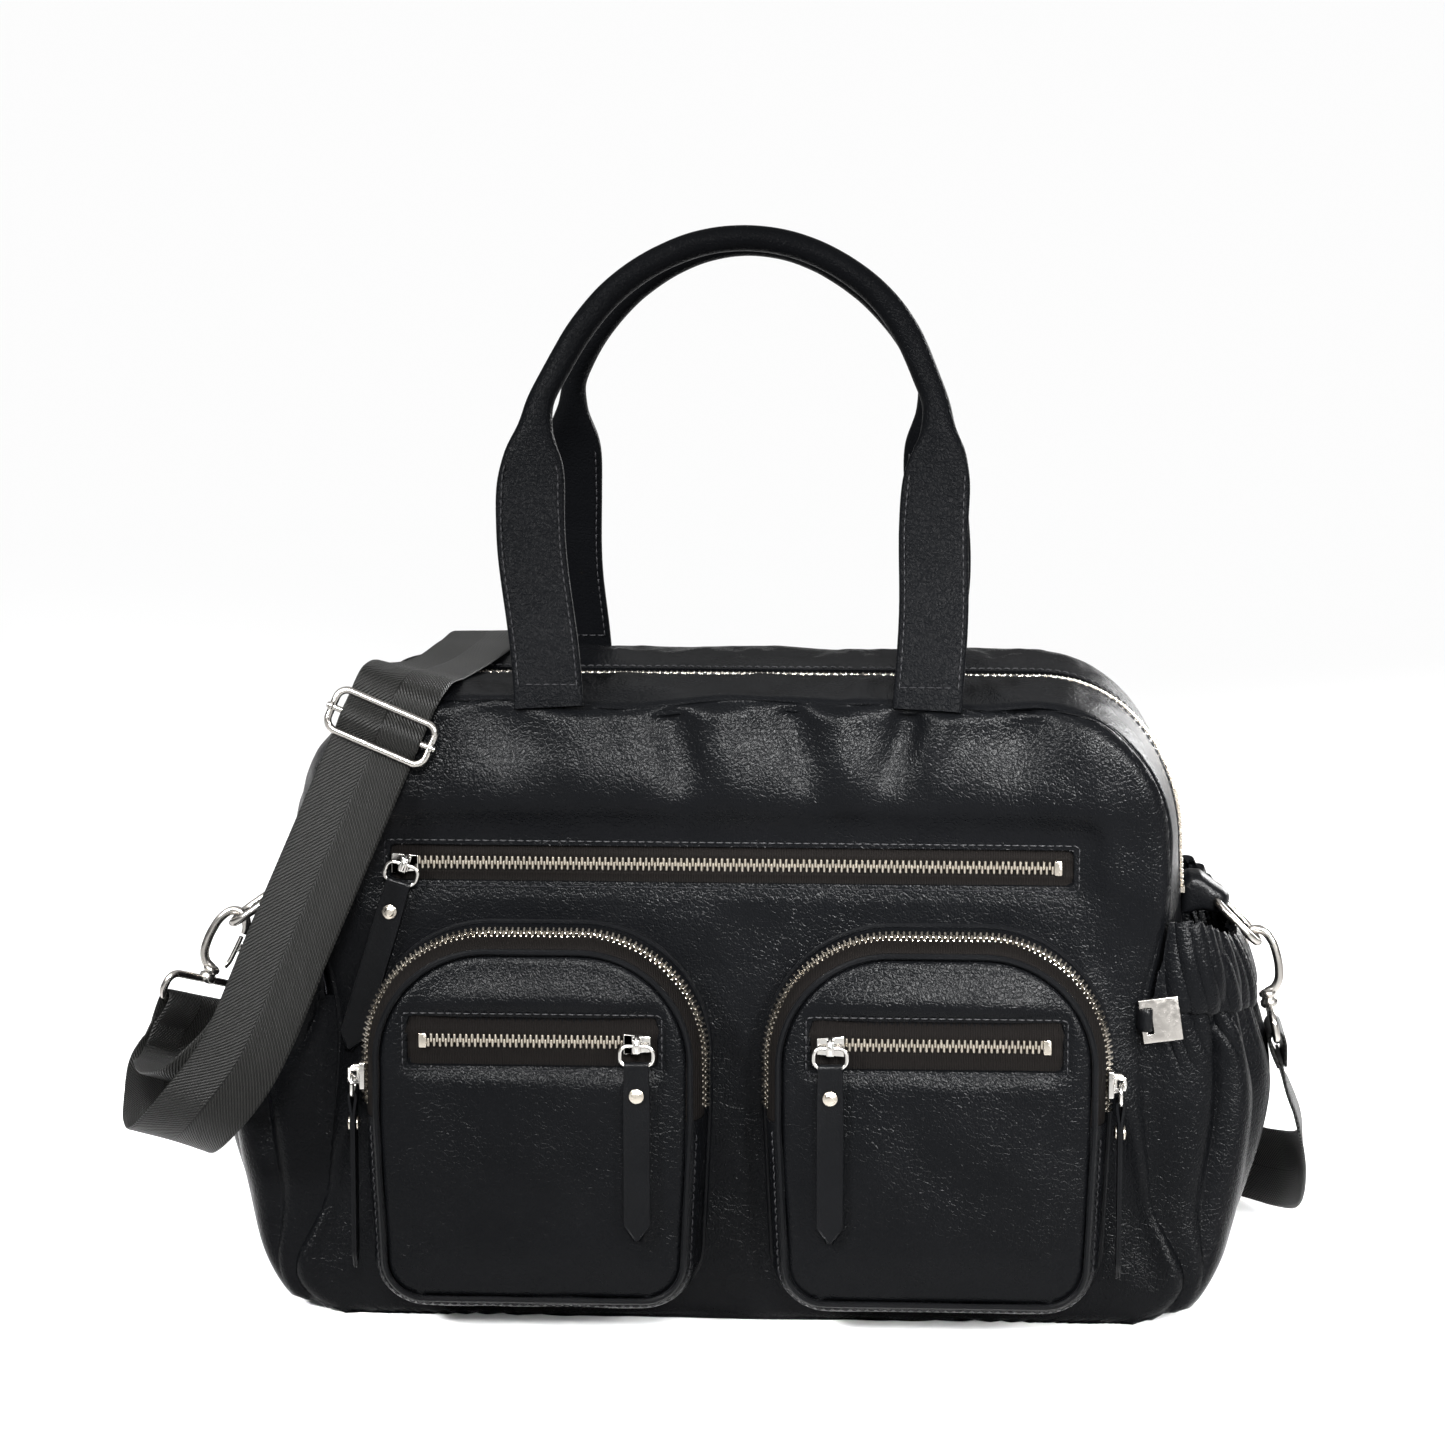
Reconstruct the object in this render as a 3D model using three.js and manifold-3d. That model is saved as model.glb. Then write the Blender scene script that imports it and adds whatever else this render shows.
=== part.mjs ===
// Diaper bag: a soft duffel with two cargo pockets, elastic side pockets, two rolled handles and a
// clip-on shoulder strap. Millimetres. X to the right across the front as seen from the front, -Y out
// of the front, +Z up. Origin: centre of the flat base.
import * as THREE from 'three';
import { mergeVertices } from 'three/addons/utils/BufferGeometryUtils.js';
import Module from 'manifold-3d';

const wasm = await Module();
wasm.setup();

// ---- driving dimensions -------------------------------------------------------------------------
const GAP = 0.3;
const HEIGHT = 284;
const HALF_DEPTH = 84;
const PANEL = 3;
const WALL = 2.5;
const BASE_HALF = 206;
const BASE_R = 30;
const SHOULDER_HALF = 193;
const SHOULDER_Z = 222;
const TOP_R = 62;
const BULGE = 6;
const ZIP_R = 70;
const ZIP_END_Z = 187;
const ZIP_HALF = 9;
const FLAP_X = [-20, 122];
const BOARD = { halfX: 168, halfY: 72, thick: 2 };
const LINING = { thick: 1, y: [-78.1, 80.3], floor: 5.1, top: 276 };

const ZIP_CHAIN = { half: 3.2, rise: 2, tape: 1.2, margin: 7 };
const FRONT_ZIP = { x: [-157, 150], z: 211, halfHeight: 7.5, tapeHalf: 13, sliderX: -150 };
const CARGO = {
  x: 90, half: 76, top: 183, bottom: 6.5, topR: 56, bottomR: 24, inset: 9.8, wall: 1.8,
  depth: [84.3, 100, 116.5], crest: 108, crestInset: 0.4, faceInset: 7.5,
};
const FACE_ZIP = { half: 57, z: 137, halfHeight: 11, sliderX: 47 };
const U_ZIP_END_Z = 100;
const U_SLIDER_Z = 118;

const SLIDER = { nose: 3.6, shoulder: 4.6, half: 6, plate: 2.6, loopHalf: 3.2, loopWide: 3.4, hole: 1.7 };
const PULL = {
  width: 11.6, length: 80, mainLength: 70, thickness: 2.4, tip: 7, ring: 9, wire: 0.8, lift: 5.6,
};
const HANDLE = { lean: THREE.MathUtils.degToRad(17), tab: [15.5, 3], grip: [5.8, 5.8], sides: 12 };
const POCKET = { wall: 2, hemThick: 4, halfY: 78, clear: 1.5, footZ: 12, hemZ: 142, topZ: 171 };
const RING = { x: 218, z: 182, length: 28, half: 15, wire: 1.9 };
const HANG = {
  left: { ring: THREE.MathUtils.degToRad(35), hook: 0.45, eye: -Math.PI / 4 },
  right: { ring: THREE.MathUtils.degToRad(45), hook: 0.2, eye: Math.PI / 2 },
};
const HOOK = { base: 32, eye: 44, eyeDepth: 13, wire: 2.1, eyeWire: 1.8 };
const STRAP = { width: 38, thick: 1.6 };
const BUCKLE = { half: 23.5, height: 19, wire: 1.7, bar: 1.5, up: 0.9 };
const TAG = { x: 190, z: 143, half: [9, 10], y: -85.8, thick: 1.6 };

// ---- materials ----------------------------------------------------------------------------------
function paint(color, roughness, metalness = 0) {
  return new THREE.MeshStandardMaterial({ color, roughness, metalness });
}
const leather = paint(0x17181a, 0.45);
const webbing = paint(0x23231f, 0.8);
const tape = paint(0x2a2422, 0.85);
const nickel = paint(0xc9c4bc, 0.25, 1);
const cloth = paint(0x3a3a3d, 0.9);
const board = paint(0x4a4640, 0.8);

const bag = new THREE.Group();

// ---- helpers ------------------------------------------------------------------------------------
const vec = (x, y, z) => new THREE.Vector3(x, y, z);
const flat = (x, y) => new THREE.Vector2(x, y);
const mix = (a, b, t) => a + (b - a) * t;

function add(name, geometry, material, parent = bag) {
  const mesh = new THREE.Mesh(geometry, material);
  mesh.name = name;
  parent.add(mesh);
  return mesh;
}

// A closed body from shared points and triangles, turned so that its faces point out.
function closedBody(points, index) {
  let volume = 0;
  for (let i = 0; i < index.length; i += 3) {
    const [a, b, c] = [points[index[i]], points[index[i + 1]], points[index[i + 2]]];
    volume += a.dot(b.clone().cross(c));
  }
  const faces = volume > 0 ? index : index.slice().reverse();
  const geometry = new THREE.BufferGeometry().setFromPoints(points);
  geometry.setIndex(faces);
  return geometry;
}

// A sheet with thickness between two grids of points of the same size.
function slab(outer, inner) {
  const [nu, nv] = [outer.length, outer[0].length];
  const index = [];
  const at = (layer, i, j) => (layer * nu + i) * nv + j;
  const quad = (a, b, c, d) => index.push(a, b, c, a, c, d);
  for (let i = 0; i < nu - 1; i++) {
    for (let j = 0; j < nv - 1; j++) {
      quad(at(0, i, j), at(0, i + 1, j), at(0, i + 1, j + 1), at(0, i, j + 1));
      quad(at(1, i, j), at(1, i, j + 1), at(1, i + 1, j + 1), at(1, i + 1, j));
    }
    quad(at(0, i, 0), at(1, i, 0), at(1, i + 1, 0), at(0, i + 1, 0));
    quad(at(0, i, nv - 1), at(0, i + 1, nv - 1), at(1, i + 1, nv - 1), at(1, i, nv - 1));
  }
  for (let j = 0; j < nv - 1; j++) {
    quad(at(0, 0, j), at(0, 0, j + 1), at(1, 0, j + 1), at(1, 0, j));
    quad(at(0, nu - 1, j), at(1, nu - 1, j), at(1, nu - 1, j + 1), at(0, nu - 1, j + 1));
  }
  return closedBody([...outer.flat(), ...inner.flat()], index);
}

// A body lofted through rings of points; closed loops join the last ring to the first.
function loft(rings, closed = false) {
  const n = rings[0].length;
  const index = [];
  const spans = closed ? rings.length : rings.length - 1;
  for (let i = 0; i < spans; i++) {
    const next = (i + 1) % rings.length;
    for (let j = 0; j < n; j++) {
      const k = (j + 1) % n;
      index.push(i * n + j, next * n + j, next * n + k, i * n + j, next * n + k, i * n + k);
    }
  }
  if (!closed) {
    const last = (rings.length - 1) * n;
    for (let j = 1; j < n - 1; j++) index.push(0, j, j + 1, last, last + j + 1, last + j);
  }
  return closedBody(rings.flat(), index);
}

// Round wire along points that lie in one plane with the given normal.
function wire(points, normal, radius, closed, sides = 8) {
  const rings = points.map((p, i) => {
    const before = closed ? points.at(i - 1) : points[Math.max(i - 1, 0)];
    const after = closed ? points[(i + 1) % points.length] : points[Math.min(i + 1, points.length - 1)];
    const side = after.clone().sub(before).normalize().cross(normal);
    return Array.from({ length: sides }, (_, k) => {
      const t = (2 * Math.PI * (k + 0.5)) / sides;
      const point = p.clone().addScaledVector(side, radius * Math.cos(t));
      return point.addScaledVector(normal, radius * Math.sin(t));
    });
  });
  return loft(rings, closed);
}

// Points of a rounded rectangle in the XY plane, from y0 up to y1.
function roundedLoop(half, y0, y1, r, steps = 4) {
  const corners = [
    [half - r, y1 - r, 0], [-half + r, y1 - r, 1], [-half + r, y0 + r, 2], [half - r, y0 + r, 3],
  ];
  return corners.flatMap(([cx, cy, quarter]) => Array.from({ length: steps + 1 }, (_, k) => {
    const t = (quarter + k / steps) * (Math.PI / 2);
    return vec(cx + r * Math.cos(t), cy + r * Math.sin(t), 0);
  }));
}

function toSolid(geometry) {
  const bare = new THREE.BufferGeometry();
  bare.setAttribute('position', geometry.getAttribute('position'));
  bare.setIndex(geometry.getIndex());
  const merged = mergeVertices(bare, 1e-4);
  const mesh = new wasm.Mesh({
    numProp: 3,
    vertProperties: new Float32Array(merged.getAttribute('position').array),
    triVerts: new Uint32Array(merged.getIndex().array),
  });
  return new wasm.Manifold(mesh);
}

function fromSolid(solid) {
  const { vertProperties, triVerts } = solid.getMesh();
  const geometry = new THREE.BufferGeometry();
  geometry.setAttribute('position', new THREE.BufferAttribute(new Float32Array(vertProperties), 3));
  geometry.setIndex(Array.from(triVerts));
  return geometry;
}

const joined = (...pieces) => fromSolid(pieces.map(toSolid).reduce((sum, piece) => sum.add(piece)));

// An outline in X and Z, extruded from y0 to y1.
function plate(outline, y0, y1, curveSegments = 6) {
  const geometry = new THREE.ExtrudeGeometry(outline, { depth: y1 - y0, bevelEnabled: false, curveSegments });
  return geometry.rotateX(Math.PI / 2).translate(0, y1, 0);
}

function box(x, y, z) {
  const geometry = new THREE.BoxGeometry(x[1] - x[0], y[1] - y[0], z[1] - z[0]);
  return geometry.translate((x[0] + x[1]) / 2, (y[0] + y[1]) / 2, (z[0] + z[1]) / 2);
}

function arc(cx, cz, r, from, to, steps) {
  return Array.from({ length: steps + 1 }, (_, k) => {
    const t = THREE.MathUtils.degToRad(mix(from, to, k / steps));
    return flat(cx + r * Math.cos(t), cz + r * Math.sin(t));
  });
}

// The path moved to its left by a distance, mitred at each point.
function offsetPath(points, distance) {
  return points.map((p, i) => {
    const a = points[Math.max(i - 1, 0)];
    const b = points[Math.min(i + 1, points.length - 1)];
    const run = b.clone().sub(a).normalize();
    return flat(p.x - run.y * distance, p.y + run.x * distance);
  });
}

const mirrored = (points) => points.map((p) => flat(-p.x, p.y));

// A rectangular hole or plan, from corner to corner.
const rectangle = (x0, y0, x1, y1) => [flat(x0, y0), flat(x1, y0), flat(x1, y1), flat(x0, y1)];

// ---- body outline -------------------------------------------------------------------------------
const sideX = (z) => mix(BASE_HALF, SHOULDER_HALF, (z - BASE_R) / (SHOULDER_Z - BASE_R));
const bulgeX = (z) => (z > BASE_R ? BULGE + (z - BASE_R) * 0.04 : BULGE * (z / BASE_R));
const shoulderX = SHOULDER_HALF - TOP_R;

function bagOutline(inset) {
  const half = [
    ...arc(BASE_HALF - BASE_R, BASE_R, BASE_R, -90, 0, 4),
    ...arc(shoulderX, SHOULDER_Z, TOP_R, 4, 90, 7),
  ];
  const right = offsetPath([flat(0, 0), ...half, flat(0, HEIGHT)], inset);
  const left = mirrored(right).reverse();
  return new THREE.Shape([...right.slice(1, -1), ...left.slice(1, -1)]);
}

// Wall strip across the depth of the bag: it runs along the path `edge` at the panels and along the path
// `middle` halfway between them.
function wallStrip(edge, middle, y, side, steps = 2, thick = WALL) {
  const reach = HALF_DEPTH - PANEL;
  const grid = (inset) => {
    const [a, b] = [offsetPath(edge, inset), offsetPath(middle, inset)];
    return a.map((p, i) => Array.from({ length: steps + 1 }, (_, k) => {
      const v = mix(y[0], y[1], k / steps);
      const bow = 1 - (v / reach) ** 2;
      return vec(side * mix(p.x, b[i].x, bow), v, mix(p.y, b[i].y, bow));
    }));
  };
  return slab(grid(0), grid(thick));
}

const INNER_Y = HALF_DEPTH - PANEL - GAP;
const seamZ = ZIP_END_Z - GAP;

const bowedZ = 108;
const gussetEdge = [
  ...arc(BASE_HALF - BASE_R, BASE_R, BASE_R, -90, 0, 4),
  flat(sideX(bowedZ), bowedZ), flat(sideX(seamZ), seamZ),
];
const gussetMiddle = gussetEdge.map((p) => flat(p.x + (p.y > 0 ? bulgeX(p.y) : 0), p.y));
const cornerEdge = [flat(sideX(ZIP_END_Z), ZIP_END_Z), ...arc(shoulderX, SHOULDER_Z, TOP_R, 0, 90, 7)];
const zipSideX = shoulderX + 4 + ZIP_R;
const cornerMiddle = [
  flat(zipSideX + 1, ZIP_END_Z), ...arc(zipSideX - ZIP_R, HEIGHT - ZIP_R, ZIP_R, 0, 90, 7),
];

// A strip round a top corner, from the gusset's seam to the mouth's flaps.
function cornerStrip(side, y) {
  const end = flat(side < 0 ? -FLAP_X[0] : FLAP_X[1], HEIGHT);
  return wallStrip([...cornerEdge, end], [...cornerMiddle, end], y, side);
}

// ---- shell --------------------------------------------------------------------------------------
const frontOutline = bagOutline(0);
const [windowBottom, windowTop] = [FRONT_ZIP.z - FRONT_ZIP.halfHeight, FRONT_ZIP.z + FRONT_ZIP.halfHeight];
frontOutline.holes.push(new THREE.Path(rectangle(FRONT_ZIP.x[0], windowBottom, FRONT_ZIP.x[1], windowTop)));
add('front_panel', plate(frontOutline, -HALF_DEPTH, -HALF_DEPTH + PANEL), leather);
add('back_panel', plate(bagOutline(0), HALF_DEPTH - PANEL, HALF_DEPTH), leather);

const baseHalf = BASE_HALF - BASE_R - 3 * GAP;
add('base_panel', box([-baseHalf, baseHalf], [-INNER_Y, INNER_Y], [0, WALL]), leather);
const boardZ = WALL + GAP;
const boardBox = [[-BOARD.halfX, BOARD.halfX], [-BOARD.halfY, BOARD.halfY], [boardZ, boardZ + BOARD.thick]];
add('base_board', box(...boardBox), board);

for (const [side, name] of [[-1, 'left'], [1, 'right']]) {
  add(`side_gusset_${name}`, wallStrip(gussetEdge, gussetMiddle, [-INNER_Y, INNER_Y], side, 4), leather);
  const outerEdge = ZIP_HALF + GAP;
  add(`top_strip_front_${name}`, cornerStrip(side, [-INNER_Y, -outerEdge]), leather);
  add(`top_strip_rear_${name}`, cornerStrip(side, [outerEdge, INNER_Y]), leather);
  add(`main_zip_${name}_end`, cornerStrip(side, [-ZIP_HALF, ZIP_HALF]), tape);
}
const flapX = [FLAP_X[0] + GAP, FLAP_X[1] - GAP];
const flapZ = [HEIGHT - WALL, HEIGHT];
add('top_strip_front_middle', box(flapX, [-INNER_Y, -ZIP_HALF - GAP], flapZ), leather);
add('top_strip_rear_middle', box(flapX, [ZIP_HALF + GAP, INNER_Y], flapZ), leather);
add('main_zip_front_half', box(flapX, [-ZIP_HALF, -GAP / 2], flapZ), tape);
add('main_zip_rear_half', box(flapX, [GAP / 2, ZIP_HALF], flapZ), tape);

// ---- inside -------------------------------------------------------------------------------------
const wide = [-300, 300];
const [liningFront, liningBack] = LINING.y;
const liningOuter = toSolid(plate(bagOutline(WALL + GAP), liningFront, liningBack));
const hollowOutline = bagOutline(WALL + GAP + LINING.thick);
const liningHollow = toSolid(plate(hollowOutline, liningFront + LINING.thick, liningBack - LINING.thick));
const liningMouth = toSolid(box(wide, wide, [LINING.top, HEIGHT + 10]));
const boardRoom = toSolid(box(wide, wide, [-10, LINING.floor]));
const floorSheet = toSolid(box(wide, LINING.y, [LINING.floor, LINING.floor + 1.2])).intersect(liningOuter);
const lining = liningOuter.subtract(liningHollow).subtract(liningMouth).subtract(boardRoom).add(floorSheet);
add('lining', fromSolid(lining), cloth);

// The slip pocket on the back of the lining stands a little open at its top middle.
const SLIP = { half: 95, bottom: 62, top: 186, open: 7 };
const slipColumns = [-SLIP.half, -60, 0, 60, SLIP.half];
const slipPocket = (offset) => slipColumns.map((x) => [SLIP.bottom, 120, SLIP.top].map((z) => {
  const sag = SLIP.open * (1 - (x / SLIP.half) ** 2) * ((z - SLIP.bottom) / (SLIP.top - SLIP.bottom));
  return vec(x, liningBack - LINING.thick - GAP - sag - offset, z);
}));
add('inner_pocket', slab(slipPocket(0), slipPocket(1)), cloth);
add('front_pocket_bag', box([-142, 142], [-79.2, liningFront - GAP], [96, 226]), cloth);

// ---- zips ---------------------------------------------------------------------------------------
// Flat zip along X just behind a wall: a tape with a raised chain of teeth along its middle.
function flatZip(centreX, half, z, halfHeight, wallBack) {
  const frontY = wallBack + GAP;
  const backY = frontY + ZIP_CHAIN.tape;
  const chainHalf = half - ZIP_CHAIN.margin;
  const strip = box([centreX - half, centreX + half], [frontY, backY], [z - halfHeight, z + halfHeight]);
  const chainZ = [z - ZIP_CHAIN.half, z + ZIP_CHAIN.half];
  const teethY = [frontY - ZIP_CHAIN.rise, backY - ZIP_CHAIN.tape / 2];
  const teeth = box([centreX - chainHalf, centreX + chainHalf], teethY, chainZ);
  return joined(strip, teeth);
}

// Where a slider stands: clear of the front of the chain.
const onChain = (wallBack) => wallBack - ZIP_CHAIN.rise;

const panelBack = -HALF_DEPTH + PANEL;
const frontZipX = (FRONT_ZIP.x[0] + FRONT_ZIP.x[1]) / 2;
const frontZipHalf = 159;
add('front_zip', flatZip(frontZipX, frontZipHalf, FRONT_ZIP.z, FRONT_ZIP.tapeHalf, panelBack), tape);

// Slider and pull in their own frame: +Z out of the zip, the pull hangs along -Y, and the hole in the
// slider's bridge runs along X.
function slider(name, place, along) {
  const local = along.clone().transformDirection(place.matrix.clone().invert());
  const travel = Math.atan2(-local.x, local.y);
  const { nose, shoulder, half, plate: plateDepth, loopHalf, loopWide, hole } = SLIDER;
  const plan = new THREE.Shape([
    flat(-shoulder, -half), flat(shoulder, -half), flat(nose, half), flat(-nose, half),
  ]);
  const body = new THREE.ExtrudeGeometry(plan, { depth: plateDepth, bevelEnabled: false }).rotateZ(travel);
  const bridge = new THREE.Shape(rectangle(-loopHalf, plateDepth - 0.6, loopHalf, PULL.lift + hole + 0.7));
  bridge.holes.push(new THREE.Path(rectangle(-hole, PULL.lift - 1.5, hole, PULL.lift + 1.3)));
  const loop = new THREE.ExtrudeGeometry(bridge, { depth: loopWide, bevelEnabled: false });
  loop.translate(0, 0, -loopWide / 2);
  loop.applyMatrix4(new THREE.Matrix4().set(0, 0, 1, 0, 1, 0, 0, 0, 0, 1, 0, 0, 0, 0, 0, 1));
  add(`${name}_slider`, joined(body, loop), nickel, place);
}

// Leather strip with a pointed end, on the wire ring that passes through the slider's bridge.
function pull(name, place, length) {
  const [half, top, tip] = [PULL.width / 2, -PULL.ring + 2.5, -PULL.ring - length];
  const [shoulderY, pointHalf] = [tip + PULL.tip, 1.2];
  const strip = new THREE.Shape([
    flat(-half, top), flat(-half, shoulderY), flat(-pointHalf, tip),
    flat(pointHalf, tip), flat(half, shoulderY), flat(half, top),
  ]);
  const leatherStrip = new THREE.ExtrudeGeometry(strip, { depth: PULL.thickness, bevelEnabled: false });
  const ring = wire(roundedLoop(half + 1.6, -PULL.ring, 0, 3, 3), vec(0, 0, 1), PULL.wire, true, 6);
  const piece = joined(leatherStrip.translate(0, 0, -PULL.thickness / 2), ring).translate(0, 0, PULL.lift);
  add(`${name}_pull`, piece, leather, place);
}

// A group whose +Z points along `out` and whose -Y points along `hang`.
function zipPlace(position, out, hang) {
  const z = out.clone().normalize();
  const y = hang.clone().negate().addScaledVector(z, hang.dot(z)).normalize();
  const place = new THREE.Group();
  place.applyMatrix4(new THREE.Matrix4().makeBasis(y.clone().cross(z), y, z).setPosition(position));
  place.updateMatrix();
  bag.add(place);
  return place;
}

function zipPull(name, position, out, hang, along, length = PULL.length) {
  const place = zipPlace(position, out, hang);
  slider(name, place, along);
  pull(name, place, length);
}

const pullLean = THREE.MathUtils.degToRad(17);
const leaning = vec(-Math.sin(pullLean), 0, -Math.cos(pullLean));
const rearward = vec(0, 0.985, -0.17);
const front = vec(0, -1, 0);
const down = vec(0, 0, -1);
const mainSlider = vec(-zipSideX - 0.8, 0, 202);
zipPull('front_zip', vec(FRONT_ZIP.sliderX, onChain(panelBack), FRONT_ZIP.z), front, leaning, vec(1, 0, 0));
zipPull('main_zip', mainSlider, vec(-1, 0, 0), rearward, vec(0, 0, 1), PULL.mainLength);

// ---- cargo pockets ------------------------------------------------------------------------------
// The pocket's outline about its own centre line, from the bottom round the right side to the top centre.
function cargoHalf(inset) {
  const points = [
    ...arc(CARGO.half - 3 - CARGO.bottomR, CARGO.bottom + CARGO.bottomR, CARGO.bottomR, -90, 0, 4),
    flat(CARGO.half, U_ZIP_END_Z),
    ...arc(CARGO.half - CARGO.topR, CARGO.top - CARGO.topR, CARGO.topR, 0, 90, 7),
  ];
  return offsetPath(points, inset);
}

const shifted = (points, x, y) => points.map((p) => vec(p.x + x, y, p.y));

function cargoShape(inset, cx) {
  const right = cargoHalf(inset);
  const loop = [...right, ...mirrored(right).reverse()];
  return new THREE.Shape(loop.map((p) => flat(p.x + cx, p.y)));
}

// The rounded band between the box of the pocket and its face, along the part of the outline picked.
function cargoBand(pick, firstY, cx) {
  const rows = [[0, firstY], [CARGO.crestInset, -CARGO.crest], [CARGO.faceInset, -CARGO.depth[2]]];
  const grid = (extra) => {
    const columns = rows.map(([inset, y]) => {
      const right = cargoHalf(inset + extra);
      return shifted(pick(right, mirrored(right)), cx, y);
    });
    return columns[0].map((_, i) => columns.map((column) => column[i]));
  };
  return slab(grid(0), grid(CARGO.wall));
}

const zipFrom = 5;
const arch = (right, left) => [...right.slice(zipFrom), ...left.slice(zipFrom).reverse()];
const below = (right, left) => [...left.slice(0, zipFrom + 1).reverse(), ...right.slice(0, zipFrom + 1)];

for (const [side, name] of [[-1, 'left'], [1, 'right']]) {
  const cx = side * CARGO.x;
  const [back, middle, faceY] = CARGO.depth.map((d) => -d);
  const ringShape = cargoShape(0, cx);
  ringShape.holes.push(new THREE.Path(cargoShape(CARGO.wall, cx).getPoints()));
  const zipRoom = box([cx - 90, cx + 90], [-120, middle - 0.01], [U_ZIP_END_Z - GAP, 200]);
  const walls = toSolid(plate(ringShape, middle, back)).add(toSolid(cargoBand(below, middle + 1, cx)));
  add(`cargo_gusset_${name}`, fromSolid(walls.subtract(toSolid(zipRoom))), leather);
  add(`cargo_u_zip_${name}`, cargoBand(arch, middle - GAP, cx), tape);

  const face = cargoShape(CARGO.inset, cx);
  const { half, z, halfHeight } = FACE_ZIP;
  face.holes.push(new THREE.Path(rectangle(cx - half, z - halfHeight, cx + half, z + halfHeight)));
  const faceBack = faceY - 0.2;
  add(`cargo_face_${name}`, plate(face, faceBack - WALL, faceBack), leather);
  add(`cargo_face_zip_${name}`, flatZip(cx, half + 3, z, halfHeight + 3, faceBack), tape);

  const faceSlider = vec(cx - side * FACE_ZIP.sliderX, onChain(faceBack), z);
  zipPull(`cargo_face_${name}`, faceSlider, front, down, vec(-side, 0, 0));
  const uSlider = vec(cx + side * (CARGO.half + GAP), -105, U_SLIDER_Z);
  zipPull(`cargo_u_${name}`, uSlider, vec(side, 0, 0), down, vec(0, 0, 1));
}

// ---- side pockets -------------------------------------------------------------------------------
// How far out the full pocket reaches at a height, from its bottom seam up to its gathered hem.
function pocketX(z) {
  const stations = [[3, 209], [30, 224], [64, 236], [104, 242], [142, 230], [171, 222]];
  const k = stations.findIndex(([top]) => z <= top);
  const [[z0, x0], [z1, x1]] = [stations[k - 1], stations[k]];
  return mix(x0, x1, (z - z0) / (z1 - z0));
}

function wallX(z, y) {
  const edge = z < BASE_R ? BASE_HALF - BASE_R + Math.sqrt(BASE_R ** 2 - (BASE_R - z) ** 2) : sideX(z);
  return edge + bulgeX(z) * (1 - (y / (HALF_DEPTH - PANEL)) ** 2);
}

// A pouch wall that hugs the gusset at its front and back seams and stands out between them.
function pouch(levels, side, thick) {
  const columns = 12;
  const seamLift = 1.2;
  const grid = (inset) => Array.from({ length: columns + 1 }, (_, i) => {
    const t = (Math.PI * i) / columns;
    const y = -(POCKET.halfY - inset) * Math.cos(t);
    return levels.map((z) => {
      const wall = wallX(z, y) + POCKET.clear;
      const depth = Math.max(pocketX(z) - inset - wall, 0.2);
      return vec(side * (wall + depth * Math.sin(t) ** 0.7 + (inset ? 0 : seamLift)), y, z);
    });
  });
  return slab(grid(0), grid(thick));
}

for (const [side, name] of [[-1, 'left'], [1, 'right']]) {
  const pouchLevels = [POCKET.footZ, 30, 64, 104, POCKET.hemZ - GAP];
  const hemLevels = [POCKET.hemZ, 156, POCKET.topZ];
  add(`side_pocket_${name}`, pouch(pouchLevels, side, POCKET.wall), leather);
  add(`side_pocket_hem_${name}`, pouch(hemLevels, side, POCKET.hemThick), leather);
}

// Blank metal tag that hangs by a slot from the front seam of the right-hand pocket.
const tag = new THREE.Shape(rectangle(-TAG.half[0], -TAG.half[1], TAG.half[0], TAG.half[1]));
tag.holes.push(new THREE.Path(rectangle(-6.4, -6, -3.6, 6)));
add('side_tag', plate(tag, -TAG.thick, 0).translate(TAG.x, TAG.y, TAG.z), nickel);

// ---- shoulder strap helpers ---------------------------------------------------------------------
// Flat webbing through stations of a centre point and the direction of the width there.
function ribbon(stations, width, thick, perSpan) {
  const centre = new THREE.CatmullRomCurve3(stations.map(([p]) => p), false, 'centripetal');
  const spans = stations.length - 1;
  const rings = Array.from({ length: spans * perSpan + 1 }, (_, k) => {
    const t = k / (spans * perSpan);
    const i = Math.min(Math.floor(t * spans), spans - 1);
    const run = centre.getTangent(t);
    const across = stations[i][1].clone().lerp(stations[i + 1][1], t * spans - i);
    across.addScaledVector(run, -across.dot(run)).normalize();
    const out = run.clone().cross(across);
    const p = centre.getPoint(t);
    across.multiplyScalar(width / 2);
    out.multiplyScalar(thick / 2);
    const corners = [[1, 1], [-1, 1], [-1, -1], [1, -1]];
    return corners.map(([a, b]) => p.clone().addScaledVector(across, a).addScaledVector(out, b));
  });
  return loft(rings);
}

// ---- rings and hooks ----------------------------------------------------------------------------
// Built for the right side in the XZ plane, with +X outward, and mirrored for the left.
function mirror(geometry) {
  geometry.scale(-1, 1, 1);
  const { count } = geometry.getAttribute('position');
  const index = geometry.getIndex()?.array ?? Array.from({ length: count }, (_, i) => i);
  geometry.setIndex(Array.from(index).reverse());
}

const turned = (x, z, angle) => new THREE.Matrix4().makeTranslation(x, 0, z)
  .multiply(new THREE.Matrix4().makeRotationY(angle));

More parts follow.
